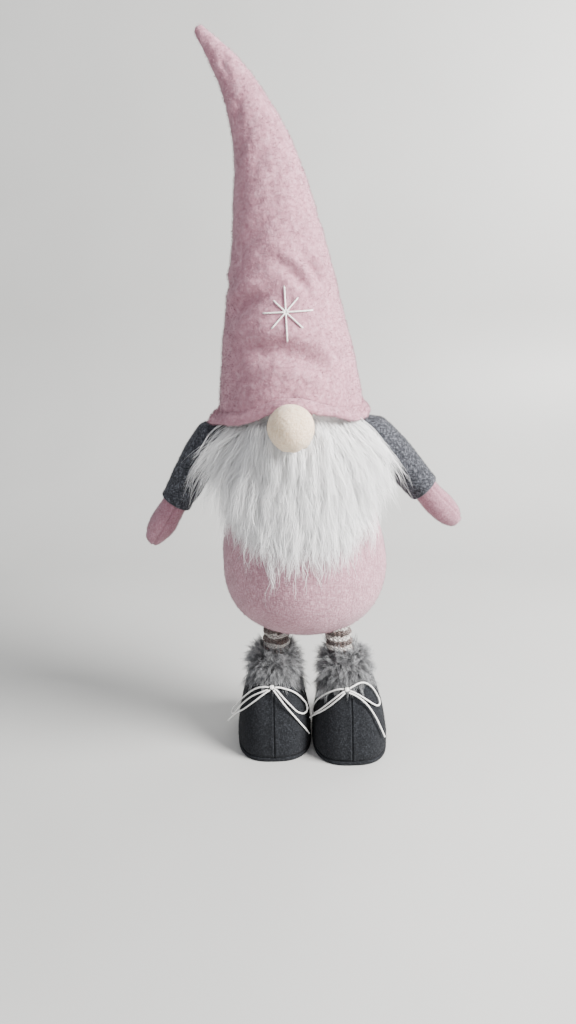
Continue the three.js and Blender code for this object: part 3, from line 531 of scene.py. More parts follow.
# Routes in millimetres from the body's axis.
LACES = {
    "right": {
        "loop_inner": [
            (-26.6, -20.2, 66.2), (-22.5, -19.6, 65.6), (-18, -18.8, 63.8), (-12, -17, 60.4),
            (-6.5, -15, 55.4), (-2, -12.6, 49), (1.2, -11, 42.6), (1.6, -12.6, 38.4),
            (-0.6, -16.6, 37.6), (-4.4, -20.8, 40), (-8.6, -23.6, 44.4), (-12.6, -24.6, 49.6),
            (-17, -24.6, 55), (-21.6, -23.6, 60.4), (-25.4, -21.9, 64.4), (-27.4, -21.4, 65.6),
        ],
        "loop_outer": [
            (-32.4, -20.1, 66.4), (-36.6, -19, 66.2), (-42, -17, 64.4), (-48.4, -13.4, 59.2),
            (-54.4, -8.4, 51.6), (-60, -1.2, 42.4), (-64.6, 6.2, 33), (-67.6, 9, 27.8),
            (-68.4, 7.4, 24.4), (-66, 3.4, 26.8), (-62.2, -3.6, 35), (-57.8, -9.8, 43.6),
            (-52.2, -15, 51.6), (-45.4, -19.2, 58.6), (-38.4, -21.8, 63), (-33.4, -22.1, 65.2),
        ],
        "tail_inner": [
            (-28.2, -22.9, 65), (-25.4, -24.8, 61.8), (-22.2, -26.4, 57.6), (-18.4, -27.4, 52.4),
            (-14.2, -27.6, 46.6), (-10, -27.2, 40.8), (-6, -26, 34.8), (-2.4, -23.6, 28.4),
            (0.8, -20.2, 22), (3.2, -16.8, 16.4),
        ],
        "tail_outer": [
            (-31.4, -23, 65.4), (-35.6, -24.2, 63), (-41, -24, 58.6), (-46.8, -22, 52.8),
            (-52.4, -17.8, 46), (-57.4, -11.8, 39), (-61.6, -5.4, 33), (-65.4, -1, 27.8),
            (-69, 1.4, 23), (-72, 2, 19.6),
        ],
    },
    "left": {
        "loop_inner": [
            (33.8, -27, 67), (29.8, -26, 66.4), (24.6, -23.6, 63.6), (19, -19.8, 58.8),
            (14, -14.6, 52.4), (10, -8.6, 44.6), (7.6, -4.4, 37), (6.8, -4.8, 32.4),
            (7.6, -9.4, 33), (10.4, -16.2, 38.4), (14, -22, 44.8), (18.6, -26, 51.2),
            (23.6, -28.2, 57), (28.6, -29, 61.8), (32.4, -29, 64.8), (34.4, -28.7, 65.8),
        ],
        "loop_outer": [
            (39, -27, 67.8), (43, -25.4, 69.2), (47.6, -22.8, 70.2), (52.6, -20.4, 69.2),
            (57.2, -19, 66), (61, -18.4, 61.4), (64, -18.8, 56.2), (66, -20.4, 51.8),
            (66, -23, 49), (63.8, -25.6, 49.2), (60, -28, 52.2), (55.8, -29.4, 56),
            (51, -29.8, 59.8), (45.8, -29.6, 63.2), (41.4, -29, 65.4), (39.2, -28.7, 66),
        ],
        "tail_inner": [
            (34.6, -30, 65), (31.2, -31, 62), (27.4, -30.8, 58.4), (23.2, -29.6, 53.8),
            (18.8, -27, 48.6), (14.6, -23.2, 43.2), (11.2, -18.8, 38.6), (8.2, -14.8, 34.6),
            (5.8, -12.2, 31.4), (4, -11.4, 29.4),
        ],
        "tail_outer": [
            (38.2, -30, 65.2), (42.2, -31, 63.8), (46.8, -31.6, 61), (51.2, -32, 57.2),
            (55.4, -32.6, 52.4), (59.2, -33.4, 46.6), (62.6, -34, 40.2), (65.4, -34, 33.4),
            (68, -33.2, 26.8), (70, -32, 21.2),
        ],
    },
}


def lace_place(point):
    x, y, z = point
    return (x * MM, y * MM + AXIS_Y, z * MM)


def make_knot(side):
    """A tight half-bow: a flattened wrap of yarn with two turns showing."""
    turns, columns = 84, 10
    shares = np.linspace(0, 1, turns)
    angle = 2 * math.pi * 2.6 * shares
    across = 1.5 * MM * (2 * shares - 1)
    swell = 1.35 * MM * np.sqrt(np.clip(1 - (2 * shares - 1) ** 2 * 0.75, 0, 1))
    path = np.stack([across, swell * np.cos(angle), swell * np.sin(angle)], axis=1)
    path += lace_place(KNOT[side])
    along = unit(np.gradient(path, axis=0))
    out = unit(np.cross(along, [1.0, 0.2, 0.1]))
    beside = np.cross(along, out)
    turn = 2 * math.pi * np.arange(columns) / columns
    ring = out[:, None] * np.cos(turn)[:, None] + beside[:, None] * np.sin(turn)[:, None]
    grid = path[:, None] + 0.75 * MM * ring
    knot = grid_object(f"{side}_bow_knot", grid[:, ::-1], MATERIALS["yarn"])
    return finish_piece(knot, f"{side}_leg", "yarn", f"{side}_bootlace_knot")


def make_laces(side):
    knot = make_knot(side)
    for part, route in LACES[side].items():
        data = bpy.data.curves.new(f"{side}_lace_{part}", "CURVE")
        data.dimensions = "3D"
        data.resolution_u = 5
        data.bevel_depth = LACE_DIAMETER / 2
        data.bevel_resolution = 3
        data.use_fill_caps = True
        spline = data.splines.new("BEZIER")
        spline.bezier_points.add(len(route) - 1)
        for bezier, point in zip(spline.bezier_points, route):
            bezier.co = lace_place(point)
            bezier.handle_left_type = bezier.handle_right_type = "AUTO"
        data.materials.append(MATERIALS["yarn"])
        lace = bpy.data.objects.new(data.name, data)
        bpy.context.scene.collection.objects.link(lace)
        finish_piece(lace, f"{side}_leg", "yarn", f"{side}_bootlace_{part}")


for side in SIDES:
    make_laces(side)

# ---- Body ----

BODY_BOTTOM, BODY_WIDEST, BODY_NECK, BODY_TOP = 0.1175, 0.178, 0.310, 0.358
BODY_HALF_WIDTH, HEAD_HALF_WIDTH = 0.070, 0.0462
DEPTH_RATIO = 0.9
BODY_BASE_X, BODY_NECK_X = 1.4 * MM, -5 * MM
EGG_POWER = 2.4


def body_x(z):
    return np.interp(z, [BODY_WIDEST, BODY_NECK], [BODY_BASE_X, BODY_NECK_X])


def body_half_width(z):
    """Half-width of the body at a height, zero at its bottom and top."""
    z = np.asarray(z, float)
    rise = np.clip((BODY_WIDEST - z) / (BODY_WIDEST - BODY_BOTTOM), 0, 1)
    egg = BODY_HALF_WIDTH * (1 - rise**EGG_POWER) ** (1 / EGG_POWER)
    share = smoothstep(z, BODY_WIDEST, BODY_NECK)
    trunk = BODY_HALF_WIDTH + (HEAD_HALF_WIDTH - BODY_HALF_WIDTH) * share
    crown = np.clip((z - BODY_NECK) / (BODY_TOP - BODY_NECK), 0, 1)
    head = HEAD_HALF_WIDTH * np.sqrt(1 - crown**2)
    return np.where(z < BODY_WIDEST, egg, np.where(z < BODY_NECK, trunk, head))


def make_body():
    turn = np.linspace(0.03, 1, 34) * math.pi / 2
    lower = BODY_WIDEST - (BODY_WIDEST - BODY_BOTTOM) * np.cos(turn)
    middle = np.linspace(BODY_WIDEST, BODY_NECK, 50)[1:]
    crown = np.linspace(0, 0.97, 16)[1:] * math.pi / 2
    upper = BODY_NECK + (BODY_TOP - BODY_NECK) * np.sin(crown)
    heights = np.concatenate([lower, middle, upper])
    centres = np.column_stack([body_x(heights), np.full(len(heights), AXIS_Y), heights])
    rights = np.tile([1.0, 0, 0], (len(heights), 1))
    half = body_half_width(heights)
    grid = oval_rows(centres, rights, half, half * DEPTH_RATIO, ring_angles(144, 0.6))
    normals = grid_normals(grid)
    swell = 0.7 * MM * smooth_noise(grid, 45 * MM, 1) + 0.25 * MM * smooth_noise(grid, 14 * MM, 2)
    # The closing seam runs down the back, with the felt swelling on both sides of it.
    angle = np.arctan2(grid[:, :, 1] - AXIS_Y, grid[:, :, 0] - centres[:, None, 0])
    from_seam = np.abs(angle - math.pi / 2) * half[:, None]
    behind = smoothstep(heights, BODY_BOTTOM + 12 * MM, BODY_BOTTOM + 30 * MM)[:, None]
    swell += behind * sewn_seam(from_seam, 0.9 * MM, 5 * MM, 1.8 * MM, 0.9 * MM)
    grid += normals * swell[:, :, None]
    body = grid_object("body", grid, MATERIALS["body_felt"])
    fibres(body, 22000, 1.3 * MM, 0.09 * MM, MATERIALS["body_felt"], 11)
    finish_piece(body, "torso", "body_felt", "body_cover")


make_body()

# ---- Hat ----

# Centre line and radius from the hem to the tip: x, z, radius, in millimetres.
HAT_LINE = np.array([
    (-8, 311, 57.2), (-9, 340, 53.5), (-12.5, 390, 44.5), (-15.5, 435, 35), (-21, 484, 25.5),
    (-29, 518, 18), (-41.5, 547, 12.5), (-54, 566, 8.5), (-69, 584.5, 3.5),
]) * MM
HEM_X, HEM_Z, HEM_RADIUS = HAT_LINE[0]

# Creases: angle round the hat in degrees (-90 is the front), height, slope in degrees, then the
# length, width and depth.
CREASES = [
    (-128, 398, 20, 46, 7, 4.2), (-100, 364, -8, 52, 8, 3.8), (-70, 352, -26, 36, 8, 3.0),
    (-74, 416, -48, 34, 5, 3.0), (-52, 418, -60, 30, 5, 2.8), (-170, 412, 6, 26, 5, 1.6),
    (-118, 447, 30, 28, 7, 1.6), (-100, 561, 60, 12, 3, 1.0), (-120, 533, 50, 14, 4, 1.2),
    (-96, 500, 40, 22, 6, 1.2), (60, 405, 12, 46, 8, 2.8), (110, 372, -10, 44, 8, 2.4),
    (85, 440, -30, 30, 6, 1.8), (20, 380, 25, 34, 7, 2.2), (150, 350, 18, 36, 8, 2.2),
    (100, 490, 35, 24, 5, 1.2), (10, 450, -40, 24, 5, 1.2), (60, 545, 40, 14, 3, 0.8),
]


def hat_frame(shares):
    """Centres, outward rights and radii along the hat's centre line."""
    line = catmull_rom(HAT_LINE, shares)
    slope = np.gradient(line[:, :2], axis=0)
    along = unit(np.column_stack([slope[:, 0], np.zeros(len(line)), slope[:, 1]]))
    centres = np.column_stack([line[:, 0], np.full(len(line), AXIS_Y), line[:, 1]])
    return centres, np.cross([0, 1.0, 0], along), line[:, 2]


def away_from(angles, degrees):
    """Signed angle from a direction round the hat."""
    return (angles - math.radians(degrees) + math.pi) % (2 * math.pi) - math.pi


def hat_creases(angles, heights, radii):
    """How far each point sinks, from creases that each have a soft ridge above and below."""
    sunk = np.zeros(np.broadcast(angles, heights).shape)
    for degrees, height, slope, length, width, depth in CREASES:
        x = away_from(angles, degrees) * radii
        z = heights - height * MM
        tilt = math.radians(slope)
        s = (x * math.cos(tilt) + z * math.sin(tilt)) / (0.5 * length * MM)
        t = (z * math.cos(tilt) - x * math.sin(tilt) + 2 * MM * s**2) / (width * MM)
        fold = hump(t) - 0.75 * hump(t - 1.5) - 0.35 * hump(t + 1.6)
        sunk += depth * MM * hump(s) * fold
    return sunk


def make_hat():
    rows, columns = 170, 144
    shares = np.linspace(0, 1, rows)
    centres, rights, radii = hat_frame(shares)
    radii = radii + 1.2 * MM * smoothstep(radii, 0.006, 0.02)
    angles = ring_angles(columns, 0.5)
    grid = oval_rows(centres, rights, radii, radii * DEPTH_RATIO, angles)
    normals = grid_normals(grid)
    angles = np.where(angles > math.pi, angles - 2 * math.pi, angles)
    slack = smoothstep(radii, 0.003, 0.03)[:, None]
    heights = centres[:, 2][:, None] + 0 * angles
    push = -hat_creases(angles[None], heights, radii[:, None])
    lumps = 0.9 * MM * smooth_noise(grid, 26 * MM, 3) + 0.45 * MM * smooth_noise(grid, 9 * MM, 4)
    push += slack * lumps
    push += 0.28 * MM * smooth_noise(grid, 3.2 * MM, 5)
    # The sewn seam up the back.
    from_seam = np.abs(angles - math.pi / 2)[None] * radii[:, None]
    push += slack * sewn_seam(from_seam, 0.8 * MM, 4 * MM, 1.6 * MM, MM)
    grid += normals * push[:, :, None]
    # The lower edge follows the hem up over the nose.
    near_hem = 1 - smoothstep(heights, HEM_Z, HEM_Z + 40 * MM)
    grid[:, :, 2] += near_hem * (hem_height(angles)[None] - HEM_Z)
    tip_centre = centres[-1] + 0.0022 * np.cross(rights[-1], [0, 1.0, 0])
    closing = tip_centre + (grid[-1] - tip_centre) * 0.45
    grid = np.concatenate([grid, closing[None]])
    hat = grid_object("hat", grid, MATERIALS["hat_felt"], caps=(False, True))
    places = [vertex.co for vertex in hat.data.vertices]
    shape = BVHTree.FromPolygons(places, [face.vertices for face in hat.data.polygons])
    fibres(hat, 26000, 2.2 * MM, 0.1 * MM, MATERIALS["hat_felt"], 12)
    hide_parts("hat_cone_lower", "hat_cone_upper")
    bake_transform(hat)
    return shape


def hem_height(angles):
    """Height of the hem's middle: arched over the nose, drooping at the gnome's right."""
    arch = 10.5 * hump(away_from(angles, -87), 0.52)
    droop = -4.0 * hump(away_from(angles, -172), 0.55)
    wave = 0.7 * np.sin(3 * angles + 0.6) + 0.5 * np.sin(7 * angles + 2.0)
    return HEM_Z + (1.4 + arch + droop + wave) * MM


def make_hem():
    """The turned-up edge: a soft flat roll that leans out at the bottom, mostly at the sides."""
    around, columns = 220, 26
    angles = 2 * math.pi * np.arange(around) / around
    out = np.column_stack([np.cos(angles), np.sin(angles), np.zeros(around)])
    flare = 1.3 + 0.8 * np.abs(np.cos(angles)) + 0.4 * np.sin(5 * angles + 1)
    right_side = hump(away_from(angles, 180), 0.45)
    flare += 2.2 * right_side
    flare += 3.2 * hump(away_from(angles, -90), 0.3)  # out to the nose that is sewn to it
    radius = HEM_RADIUS + flare * MM
    x = HEM_X + radius * np.cos(angles)
    y = AXIS_Y + DEPTH_RATIO * radius * np.sin(angles)
    centre = np.column_stack([x, y, hem_height(angles)])
    turn = 2 * math.pi * np.arange(columns) / columns
    thick = (2.5 + 0.3 * np.sin(4 * angles)) * MM
    tall = (5.2 + 0.4 * np.sin(3 * angles + 2) + 0.3 * np.sin(8 * angles)) * MM
    lean = 0.3 + 0.3 * np.abs(np.cos(angles)) ** 3 + 0.45 * right_side
    section_up = np.sin(turn)[None] * tall[:, None]
    section_out = np.cos(turn)[None] * thick[:, None] * (1.1 - 0.35 * np.sin(turn)[None])
    section_out -= section_up * lean[:, None]
    grid = centre[:, None] + out[:, None] * section_out[:, :, None]
    grid[:, :, 2] += section_up
    round_section = np.roll(grid, -1, axis=1) - np.roll(grid, 1, axis=1)
    round_hat = np.roll(grid, -1, axis=0) - np.roll(grid, 1, axis=0)
    normals = -unit(np.cross(round_section, round_hat))
    lumps = 0.6 * MM * smooth_noise(grid, 12 * MM, 6) + 0.3 * MM * smooth_noise(grid, 4 * MM, 7)
    grid += normals * lumps[:, :, None]
    index = np.arange(around * columns).reshape(around, columns)
    after, beside = np.roll(index, -1, axis=0), np.roll(index, -1, axis=1)
    corner = np.roll(beside, -1, axis=0)
    quads = np.stack([index, after, corner, beside], axis=-1).reshape(-1, 4)
    hem = new_object("hat_hem", grid.reshape(-1, 3), [], quads, MATERIALS["hat_felt"])
    fibres(hem, 9000, 2.0 * MM, 0.1 * MM, MATERIALS["hat_felt"], 13)
    finish_piece(hem, "torso", "hat_felt", "hat_brim")


STAR_X, STAR_Z = -0.0106, 0.390
STAR_RAYS = (20, 13.5, 18.5, 12, 17, 16, 21.5, 17)  # mm, from the +X ray, anticlockwise
STAR_TILT = math.radians(2)


def make_star(shape):
    """Eight long stitches of yarn from one hole, pressed a little into the felt at both ends."""

    def on_hat(x, z, lift):
        hit, _, _, _ = shape.ray_cast(Vector((x, -0.2, z)), Vector((0, 1, 0)))
        return np.array([x, hit.y - lift, z])

    parts = []
    for i, length in enumerate(STAR_RAYS):
        angle = 2 * math.pi * i / len(STAR_RAYS) + STAR_TILT
        points = []
        for share in np.linspace(0.03, 1, 14):
            lift = 0.9 * MM - 1.5 * MM * smoothstep(share, 0.9, 1.0)
            reach = share * length * MM
            x = STAR_X + reach * math.cos(angle)
            z = STAR_Z + reach * math.sin(angle)
            points.append(on_hat(x, z, lift))
        path = np.array(points)
        along = unit(np.gradient(path, axis=0))
        out = unit(np.cross(along, [0.0, -1.0, 0.01]))
        beside = np.cross(out, along)
        turn = 2 * math.pi * np.arange(10) / 10
        twist = 1 + 0.12 * np.sin(2 * turn[None] + 2.2 * np.arange(len(path))[:, None])
        ring = out[:, None] * np.cos(turn)[:, None] + beside[:, None] * np.sin(turn)[:, None]
        grid = path[:, None] + 0.6 * MM * twist[:, :, None] * ring
        parts.append(grid_object(f"star_stitch_{i}", grid, MATERIALS["yarn"]))
    star = join(parts)
    star.name = "star_stitches"
    finish_piece(star, "torso", "yarn", "star_embroidery")


hat_shape = make_hat()
make_hem()
make_star(hat_shape)

# ---- Nose ----

NOSE_LOW, NOSE_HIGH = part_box("nose_cover")
NOSE_CENTRE = np.array((NOSE_LOW + NOSE_HIGH) / 2)
NOSE_RADIUS = (NOSE_HIGH.x - NOSE_LOW.x) / 2


def make_nose():
    """A ball of felt, gathered with a few puckers underneath where it is sewn on."""
    rows, columns = 60, 80
    polar = math.pi * np.linspace(0.012, 0.988, rows)
    angles = 2 * math.pi * np.arange(columns) / columns
    gather = unit(np.array([0.25, 0.45, -0.86]))  # the sewn pole, below and behind
    across = unit(np.cross(gather, [0, 1.0, 0]))
    other = np.cross(gather, across)
    ring = across[None] * np.cos(angles)[:, None] + other[None] * np.sin(angles)[:, None]
    grid = -gather * np.cos(polar)[:, None, None] + ring[None] * np.sin(polar)[:, None, None]
    pull = smoothstep(polar, 1.9, 3.0)[:, None]
    pucker = pull * (0.75 * np.cos(7 * angles + 0.4) + 0.45 * np.cos(12 * angles + 2)) * MM
    lumps = 0.35 * MM * smooth_noise(grid * NOSE_RADIUS, 9 * MM, 8)
    radius = NOSE_RADIUS + pucker + lumps + 0.9 * MM * pull
    grid = NOSE_CENTRE + grid * radius[:, :, None]
    nose = grid_object("nose", grid[::-1], MATERIALS["nose_felt"])
    fibres(nose, 5000, 1.1 * MM, 0.07 * MM, MATERIALS["nose_felt"], 14)
    finish_piece(nose, "torso", "nose_felt", "nose_cover")


make_nose()

# ---- Arms ----

ARM_DROP = {"right": math.radians(56.5), "left": math.radians(46.5)}
SHOULDER_RADIUS, CUFF_RADIUS = 15 * MM, 13 * MM
SLEEVE_LENGTH, ARM_LENGTH = 66 * MM, 109 * MM
LIP = 1.2 * MM  # rounding of the cuff's edge
ARM_BOW = 3.0 * MM  # how far the sleeve bows up and out, on its way from the shoulder to the hand
HAND_RADIUS = 10.7 * MM
HAND_FLATNESS = 0.82
# Hand outline from inside the cuff: share of its length, half-width as a share of the radius.
HAND_PROFILE = [
    (0, 0.88), (0.14, 0.93), (0.3, 1.0), (0.5, 1.07), (0.66, 1.04), (0.8, 0.90), (0.9, 0.72),
    (0.96, 0.54), (0.99, 0.34),
]


def arm_axes(side):
    """The shoulder, the way along the arm, and the way across it, outwards and upwards."""
    along = np.array([SIGN[side] * math.cos(ARM_DROP[side]), 0, -math.sin(ARM_DROP[side])])
    up = np.array([SIGN[side] * math.sin(ARM_DROP[side]), 0, math.cos(ARM_DROP[side])])
    return np.array(SHOULDER[side]), along, up


def along_arm(side, reaches, half_heights, half_depths, columns):
    """Rows of ovals along the arm, at reaches from the shoulder."""
    shoulder, along, up = arm_axes(side)
    angles = ring_angles(columns, 0.6)
    reaches = np.asarray(reaches)
    bow = ARM_BOW * (1 - smoothstep(np.abs(reaches - 0.2 * ARM_LENGTH), 0, 0.55 * ARM_LENGTH))
    centre = shoulder + along * reaches[:, None]
    # The upper side bows, and the lower side stays on the stuffing.
    rise = bow[:, None] * (0.55 + 0.45 * np.cos(angles))
    height = np.asarray(half_heights)[:, None] * np.cos(angles) + rise
    grid = centre[:, None] + up * height[:, :, None]
    grid[:, :, 1] += np.asarray(half_depths)[:, None] * np.sin(angles)
    if SIGN[side] > 0:
        grid = grid[:, ::-1]
    return grid


def make_sleeve(side):
    columns = 72
    polar = np.linspace(0.06, 0.5, 14) * math.pi
    back = [(-SHOULDER_RADIUS * math.cos(p), SHOULDER_RADIUS * math.sin(p)) for p in polar]
    out = np.linspace(0, SLEEVE_LENGTH - LIP, 46)[1:]
    narrowing = 1 - smoothstep(out, 0, SLEEVE_LENGTH)
    outer = list(zip(out, CUFF_RADIUS + (SHOULDER_RADIUS - CUFF_RADIUS) * narrowing))
    lip = [
        (SLEEVE_LENGTH - LIP * (1 - math.sin(turn)), CUFF_RADIUS - LIP * (1 - math.cos(turn)))
        for turn in np.linspace(0.3, math.pi - 0.2, 7)
    ]
    depths = np.linspace(SLEEVE_LENGTH - 2 * MM, SLEEVE_LENGTH - 12 * MM, 5)
    inside = [(depth, CUFF_RADIUS - 2.6 * MM) for depth in depths]
    reaches, radii = np.array(back + outer + lip + inside).T
    grid = along_arm(side, reaches, radii, radii, columns)
    # The closed end runs on into the body, where it is sewn.
    shoulder, along, _ = arm_axes(side)
    outside = SIGN[side] * (shoulder[0] - body_x(shoulder[2])) - body_half_width(shoulder[2])
    sewn = smoothstep(-reaches, 2 * MM, 0.95 * SHOULDER_RADIUS)
    grid[:, :, 0] -= SIGN[side] * (outside - SHOULDER_RADIUS + 9 * MM) * sewn[:, None]
    normals = grid_normals(grid)
    on_sleeve = smoothstep(reaches, 4 * MM, 14 * MM)
    on_sleeve = on_sleeve * (1 - smoothstep(reaches, SLEEVE_LENGTH - 6 * MM, SLEEVE_LENGTH))
    # Soft rings where the sleeve creases below the shoulder and at the elbow.
    angles = 2 * math.pi * np.arange(columns) / columns
    turned = {"right": 2.1, "left": 0.5}[side]
    waves = np.sin(reaches[:, None] / (3.4 * MM) + 1.2 * np.sin(angles + turned))
    where = hump(reaches - 16 * MM, 11 * MM) + 0.6 * hump(reaches - 40 * MM, 9 * MM)
    inner_side = 0.5 - 0.5 * np.cos(angles)
    push = 0.55 * MM * waves * where[:, None] * (0.3 + 0.7 * inner_side)
    lumps = 0.5 * MM * smooth_noise(grid, 11 * MM, 9) + 0.2 * MM * smooth_noise(grid, 4 * MM, 10)
    push += on_sleeve[:, None] * lumps
    # The stitched edge of the cuff's hem.
    outer_rows = np.arange(len(reaches)) < len(back + outer)
    hem_line = hump(reaches - SLEEVE_LENGTH + 7 * MM, 0.8 * MM) * outer_rows
    push -= 0.45 * MM * hem_line[:, None]
    grid = grid + normals * push[:, :, None]
    sleeve = grid_object(f"{side}_sleeve_felt", grid, MATERIALS["sleeve_felt"])
    fibres(sleeve, 9000, 1.3 * MM, 0.08 * MM, MATERIALS["sleeve_felt"], 15 + SIGN[side])
    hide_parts(f"{side}_sleeve")
    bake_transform(sleeve)


def make_hand(side):
    columns = 64
    start = SLEEVE_LENGTH - 8 * MM
    profile = catmull_rom(np.array(HAND_PROFILE), np.linspace(0, 1, 60))
    reaches = start + profile[:, 0] * (ARM_LENGTH - start)
    radii = profile[:, 1] * HAND_RADIUS
    grid = along_arm(side, reaches, radii, radii * HAND_FLATNESS, columns)
    normals = grid_normals(grid)
    shoulder, along, up = arm_axes(side)
    centre = shoulder + along * reaches[:, None]
    height = (grid - centre[:, None]) @ up
    front = grid[:, :, 1] < AXIS_Y
    seam_at = {"right": -2.2 * MM, "left": 6.5 * MM}[side] + 0 * reaches
    from_seam = np.abs(height - seam_at[:, None])
    seam = sewn_seam(from_seam, 0.6 * MM, 2.4 * MM, 1.5 * MM, 0.8 * MM)
    push = np.where(front, seam, 0.6 * seam)
    push += 0.35 * MM * smooth_noise(grid, 8 * MM, 20 + SIGN[side])
    # A small thumb notch near the tip, on the upper edge.
    share = (reaches - start)[:, None] / (ARM_LENGTH - start)
    notch = hump(share - 0.86, 0.035) * hump(height / HAND_RADIUS - 0.75, 0.3)
    push -= 0.5 * MM * notch
    grid += normals * push[:, :, None]
    hand = grid_object(f"{side}_hand", grid, MATERIALS["hand_felt"])
    fibres(hand, 5000, 1.1 * MM, 0.07 * MM, MATERIALS["hand_felt"], 18 + SIGN[side])
    finish_piece(hand, f"{side}_arm", "hand_felt", f"{side}_hand_cover")


for side in SIDES:
    make_sleeve(side)
    make_hand(side)

# ---- Legs ----

BOOT_X = {"right": -28.5 * MM, "left": 40.4 * MM}
BOOT_Y = {"right": 25 * MM, "left": 17 * MM}
BOOT_HALF_WIDTH, BOOT_TOE, BOOT_HEEL = 34 * MM, 46 * MM, 49 * MM
BOOT_DOME, BOOT_TOP, BOOT_POWER = 78 * MM, 64 * MM, 2.8
SOLE = 4 * MM
LEG_AXIS = {s: JOINTS[f"{s}_leg_slide"]["axis"] for s in SIDES}
SOCK_START, SOCK_END = 59 * MM, 126 * MM
SOCK_RADIUS = 10.0 * MM
CUFF_TOP = 96 * MM
CUFF_FOLLOW = 0.55


def leg_centre(side, heights, follow=1.0):
    """The leg's axis at heights above the floor, with a share of its lean."""
    lean = LEG_AXIS[side][0] / LEG_AXIS[side][2]
    heights = np.asarray(heights, float)
    x = BOOT_X[side] + follow * lean * heights
    return np.column_stack([x, np.full(len(heights), BOOT_Y[side]), heights])


def make_sock(side):
    """A knitted tube, pushed down into loose rings between the body and the boot."""
    rows, columns = 216, 180
    heights = np.linspace(SOCK_START, SOCK_END, rows)
    centres = leg_centre(side, heights)
    angles = 2 * math.pi * np.arange(columns) / columns
    phase = 1.9 * np.sin(angles + 1.3 * SIGN[side]) + 0.9 * np.sin(2 * angles + 0.7)
    rings = 2 * math.pi * (heights[:, None] - SOCK_START) / (8.4 * MM) + phase[None]
    radii = SOCK_RADIUS + 2.1 * MM * (0.5 + 0.5 * np.sin(rings)) ** 0.6
    direction = np.stack([np.cos(angles), np.sin(angles), 0 * angles], axis=1)
    grid = centres[:, None] + radii[:, :, None] * direction[None]
    lumps = 0.35 * MM * smooth_noise(grid, 6 * MM, 22 + SIGN[side])
    grid += direction[None] * lumps[:, :, None]
    around = np.abs(2 * np.arange(columns) / columns - 1) * SOCK_WALES / 2
    wale = np.abs(around % 1 - 0.5)
    courses = np.linspace(0, SOCK_COURSES, rows)[:, None]
    loop = np.abs((courses + 1.3 * wale[None]) % 1 - 0.5)
    stitch = 0.9 * MM * (2 * loop * (1 - 1.2 * wale[None]) - 0.35)
    grid += direction[None] * stitch[:, :, None]
    open_ends = (False, False)
    sock = grid_object(f"{side}_sock_knit", grid, MATERIALS["sock_knit"], open_ends, uv="knit")
    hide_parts(f"{side}_sock")
    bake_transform(sock)


def boot_grid(side, heights, inset, columns):
    """Rows of the boot's rounded-square outline under its dome."""
    share = np.sqrt(1 - (heights / BOOT_DOME) ** 2)
    angles = ring_angles(columns, 0.9)
    across = np.sign(np.cos(angles)) * np.abs(np.cos(angles)) ** (2 / BOOT_POWER)
    deep = np.sign(np.sin(angles)) * np.abs(np.sin(angles)) ** (2 / BOOT_POWER)
    length = np.where(deep < 0, BOOT_TOE, BOOT_HEEL)
    x = BOOT_X[side] + (BOOT_HALF_WIDTH * share[:, None] - inset) * across
    y = BOOT_Y[side] + (length * share[:, None] - inset) * deep
    return np.stack([x, y, np.broadcast_to(heights[:, None], x.shape)], axis=-1)


def clear_of_boot(side, points, lift):
    """Moves points that are inside the boot's dome straight up and out of it."""
    dx = np.abs(points[..., 0] - BOOT_X[side]) / BOOT_HALF_WIDTH
    dy = points[..., 1] - BOOT_Y[side]
    dy = np.abs(dy) / np.where(dy < 0, BOOT_TOE, BOOT_HEEL)
    share = np.minimum((dx**BOOT_POWER + dy**BOOT_POWER) ** (1 / BOOT_POWER), 1)
    top = np.minimum(BOOT_DOME * np.sqrt(1 - share**2), BOOT_TOP + 6 * MM)
    raised = points.copy()
    raised[..., 2] = np.where(share < 0.97, np.maximum(points[..., 2], top + lift), points[..., 2])
    return raised


def make_boot(side):
    columns = 160
    wall = SOLE + np.linspace(0.3, 18, 22) * MM
    dome = np.linspace(SOLE + 20 * MM, BOOT_TOP + 6 * MM, 34)
    heights = np.concatenate([wall, dome])
    grid = boot_grid(side, heights, 0, columns)
    normals = grid_normals(grid)
    rise = (heights - SOLE)[:, None]
    from_middle = np.abs(grid[:, :, 0] - BOOT_X[side])
    in_front = grid[:, :, 1] < BOOT_Y[side]
    seam = sewn_seam(from_middle, 0.7 * MM, 3.2 * MM, 1.3 * MM, 0.7 * MM)
    push = np.where(in_front, seam, 0.8 * seam)
    lumps = 0.5 * MM * smooth_noise(grid, 22 * MM, 24 + SIGN[side])
    push += lumps + 0.18 * MM * smooth_noise(grid, 5 * MM, 26)
    # The felt turns in under the foot, to its seam with the sole.
    push -= 1.1 * MM * (1 - smoothstep(rise, 0, 3.0 * MM))
    grid += normals * push[:, :, None]
    boot = grid_object(f"{side}_boot", grid, MATERIALS["boot_felt"])
    fibres(boot, 9000, 1.2 * MM, 0.08 * MM, MATERIALS["boot_felt"], 27 + SIGN[side])
    finish_piece(boot, f"{side}_leg", "boot_felt", f"{side}_boot_upper")

    edge = np.linspace(0, math.pi / 2, 5)
    round_off = 1.2 * MM
    flat, steep = round_off * (1 - np.sin(edge)), round_off * (1 - np.cos(edge))
    insets = np.concatenate([flat, steep])
    levels = np.concatenate([steep, SOLE - flat])
    floor_level = np.zeros(1)
    sole_grid = np.concatenate([boot_grid(side, floor_level, inset, columns) for inset in insets])
    sole_grid[:, :, 2] = levels[:, None]
    sole = grid_object(f"{side}_sole", sole_grid, MATERIALS["boot_felt"])
    finish_piece(sole, f"{side}_leg", "boot_felt", f"{side}_boot_sole")


for side in SIDES:
    make_sock(side)
    make_boot(side)

# ---- Hair ----


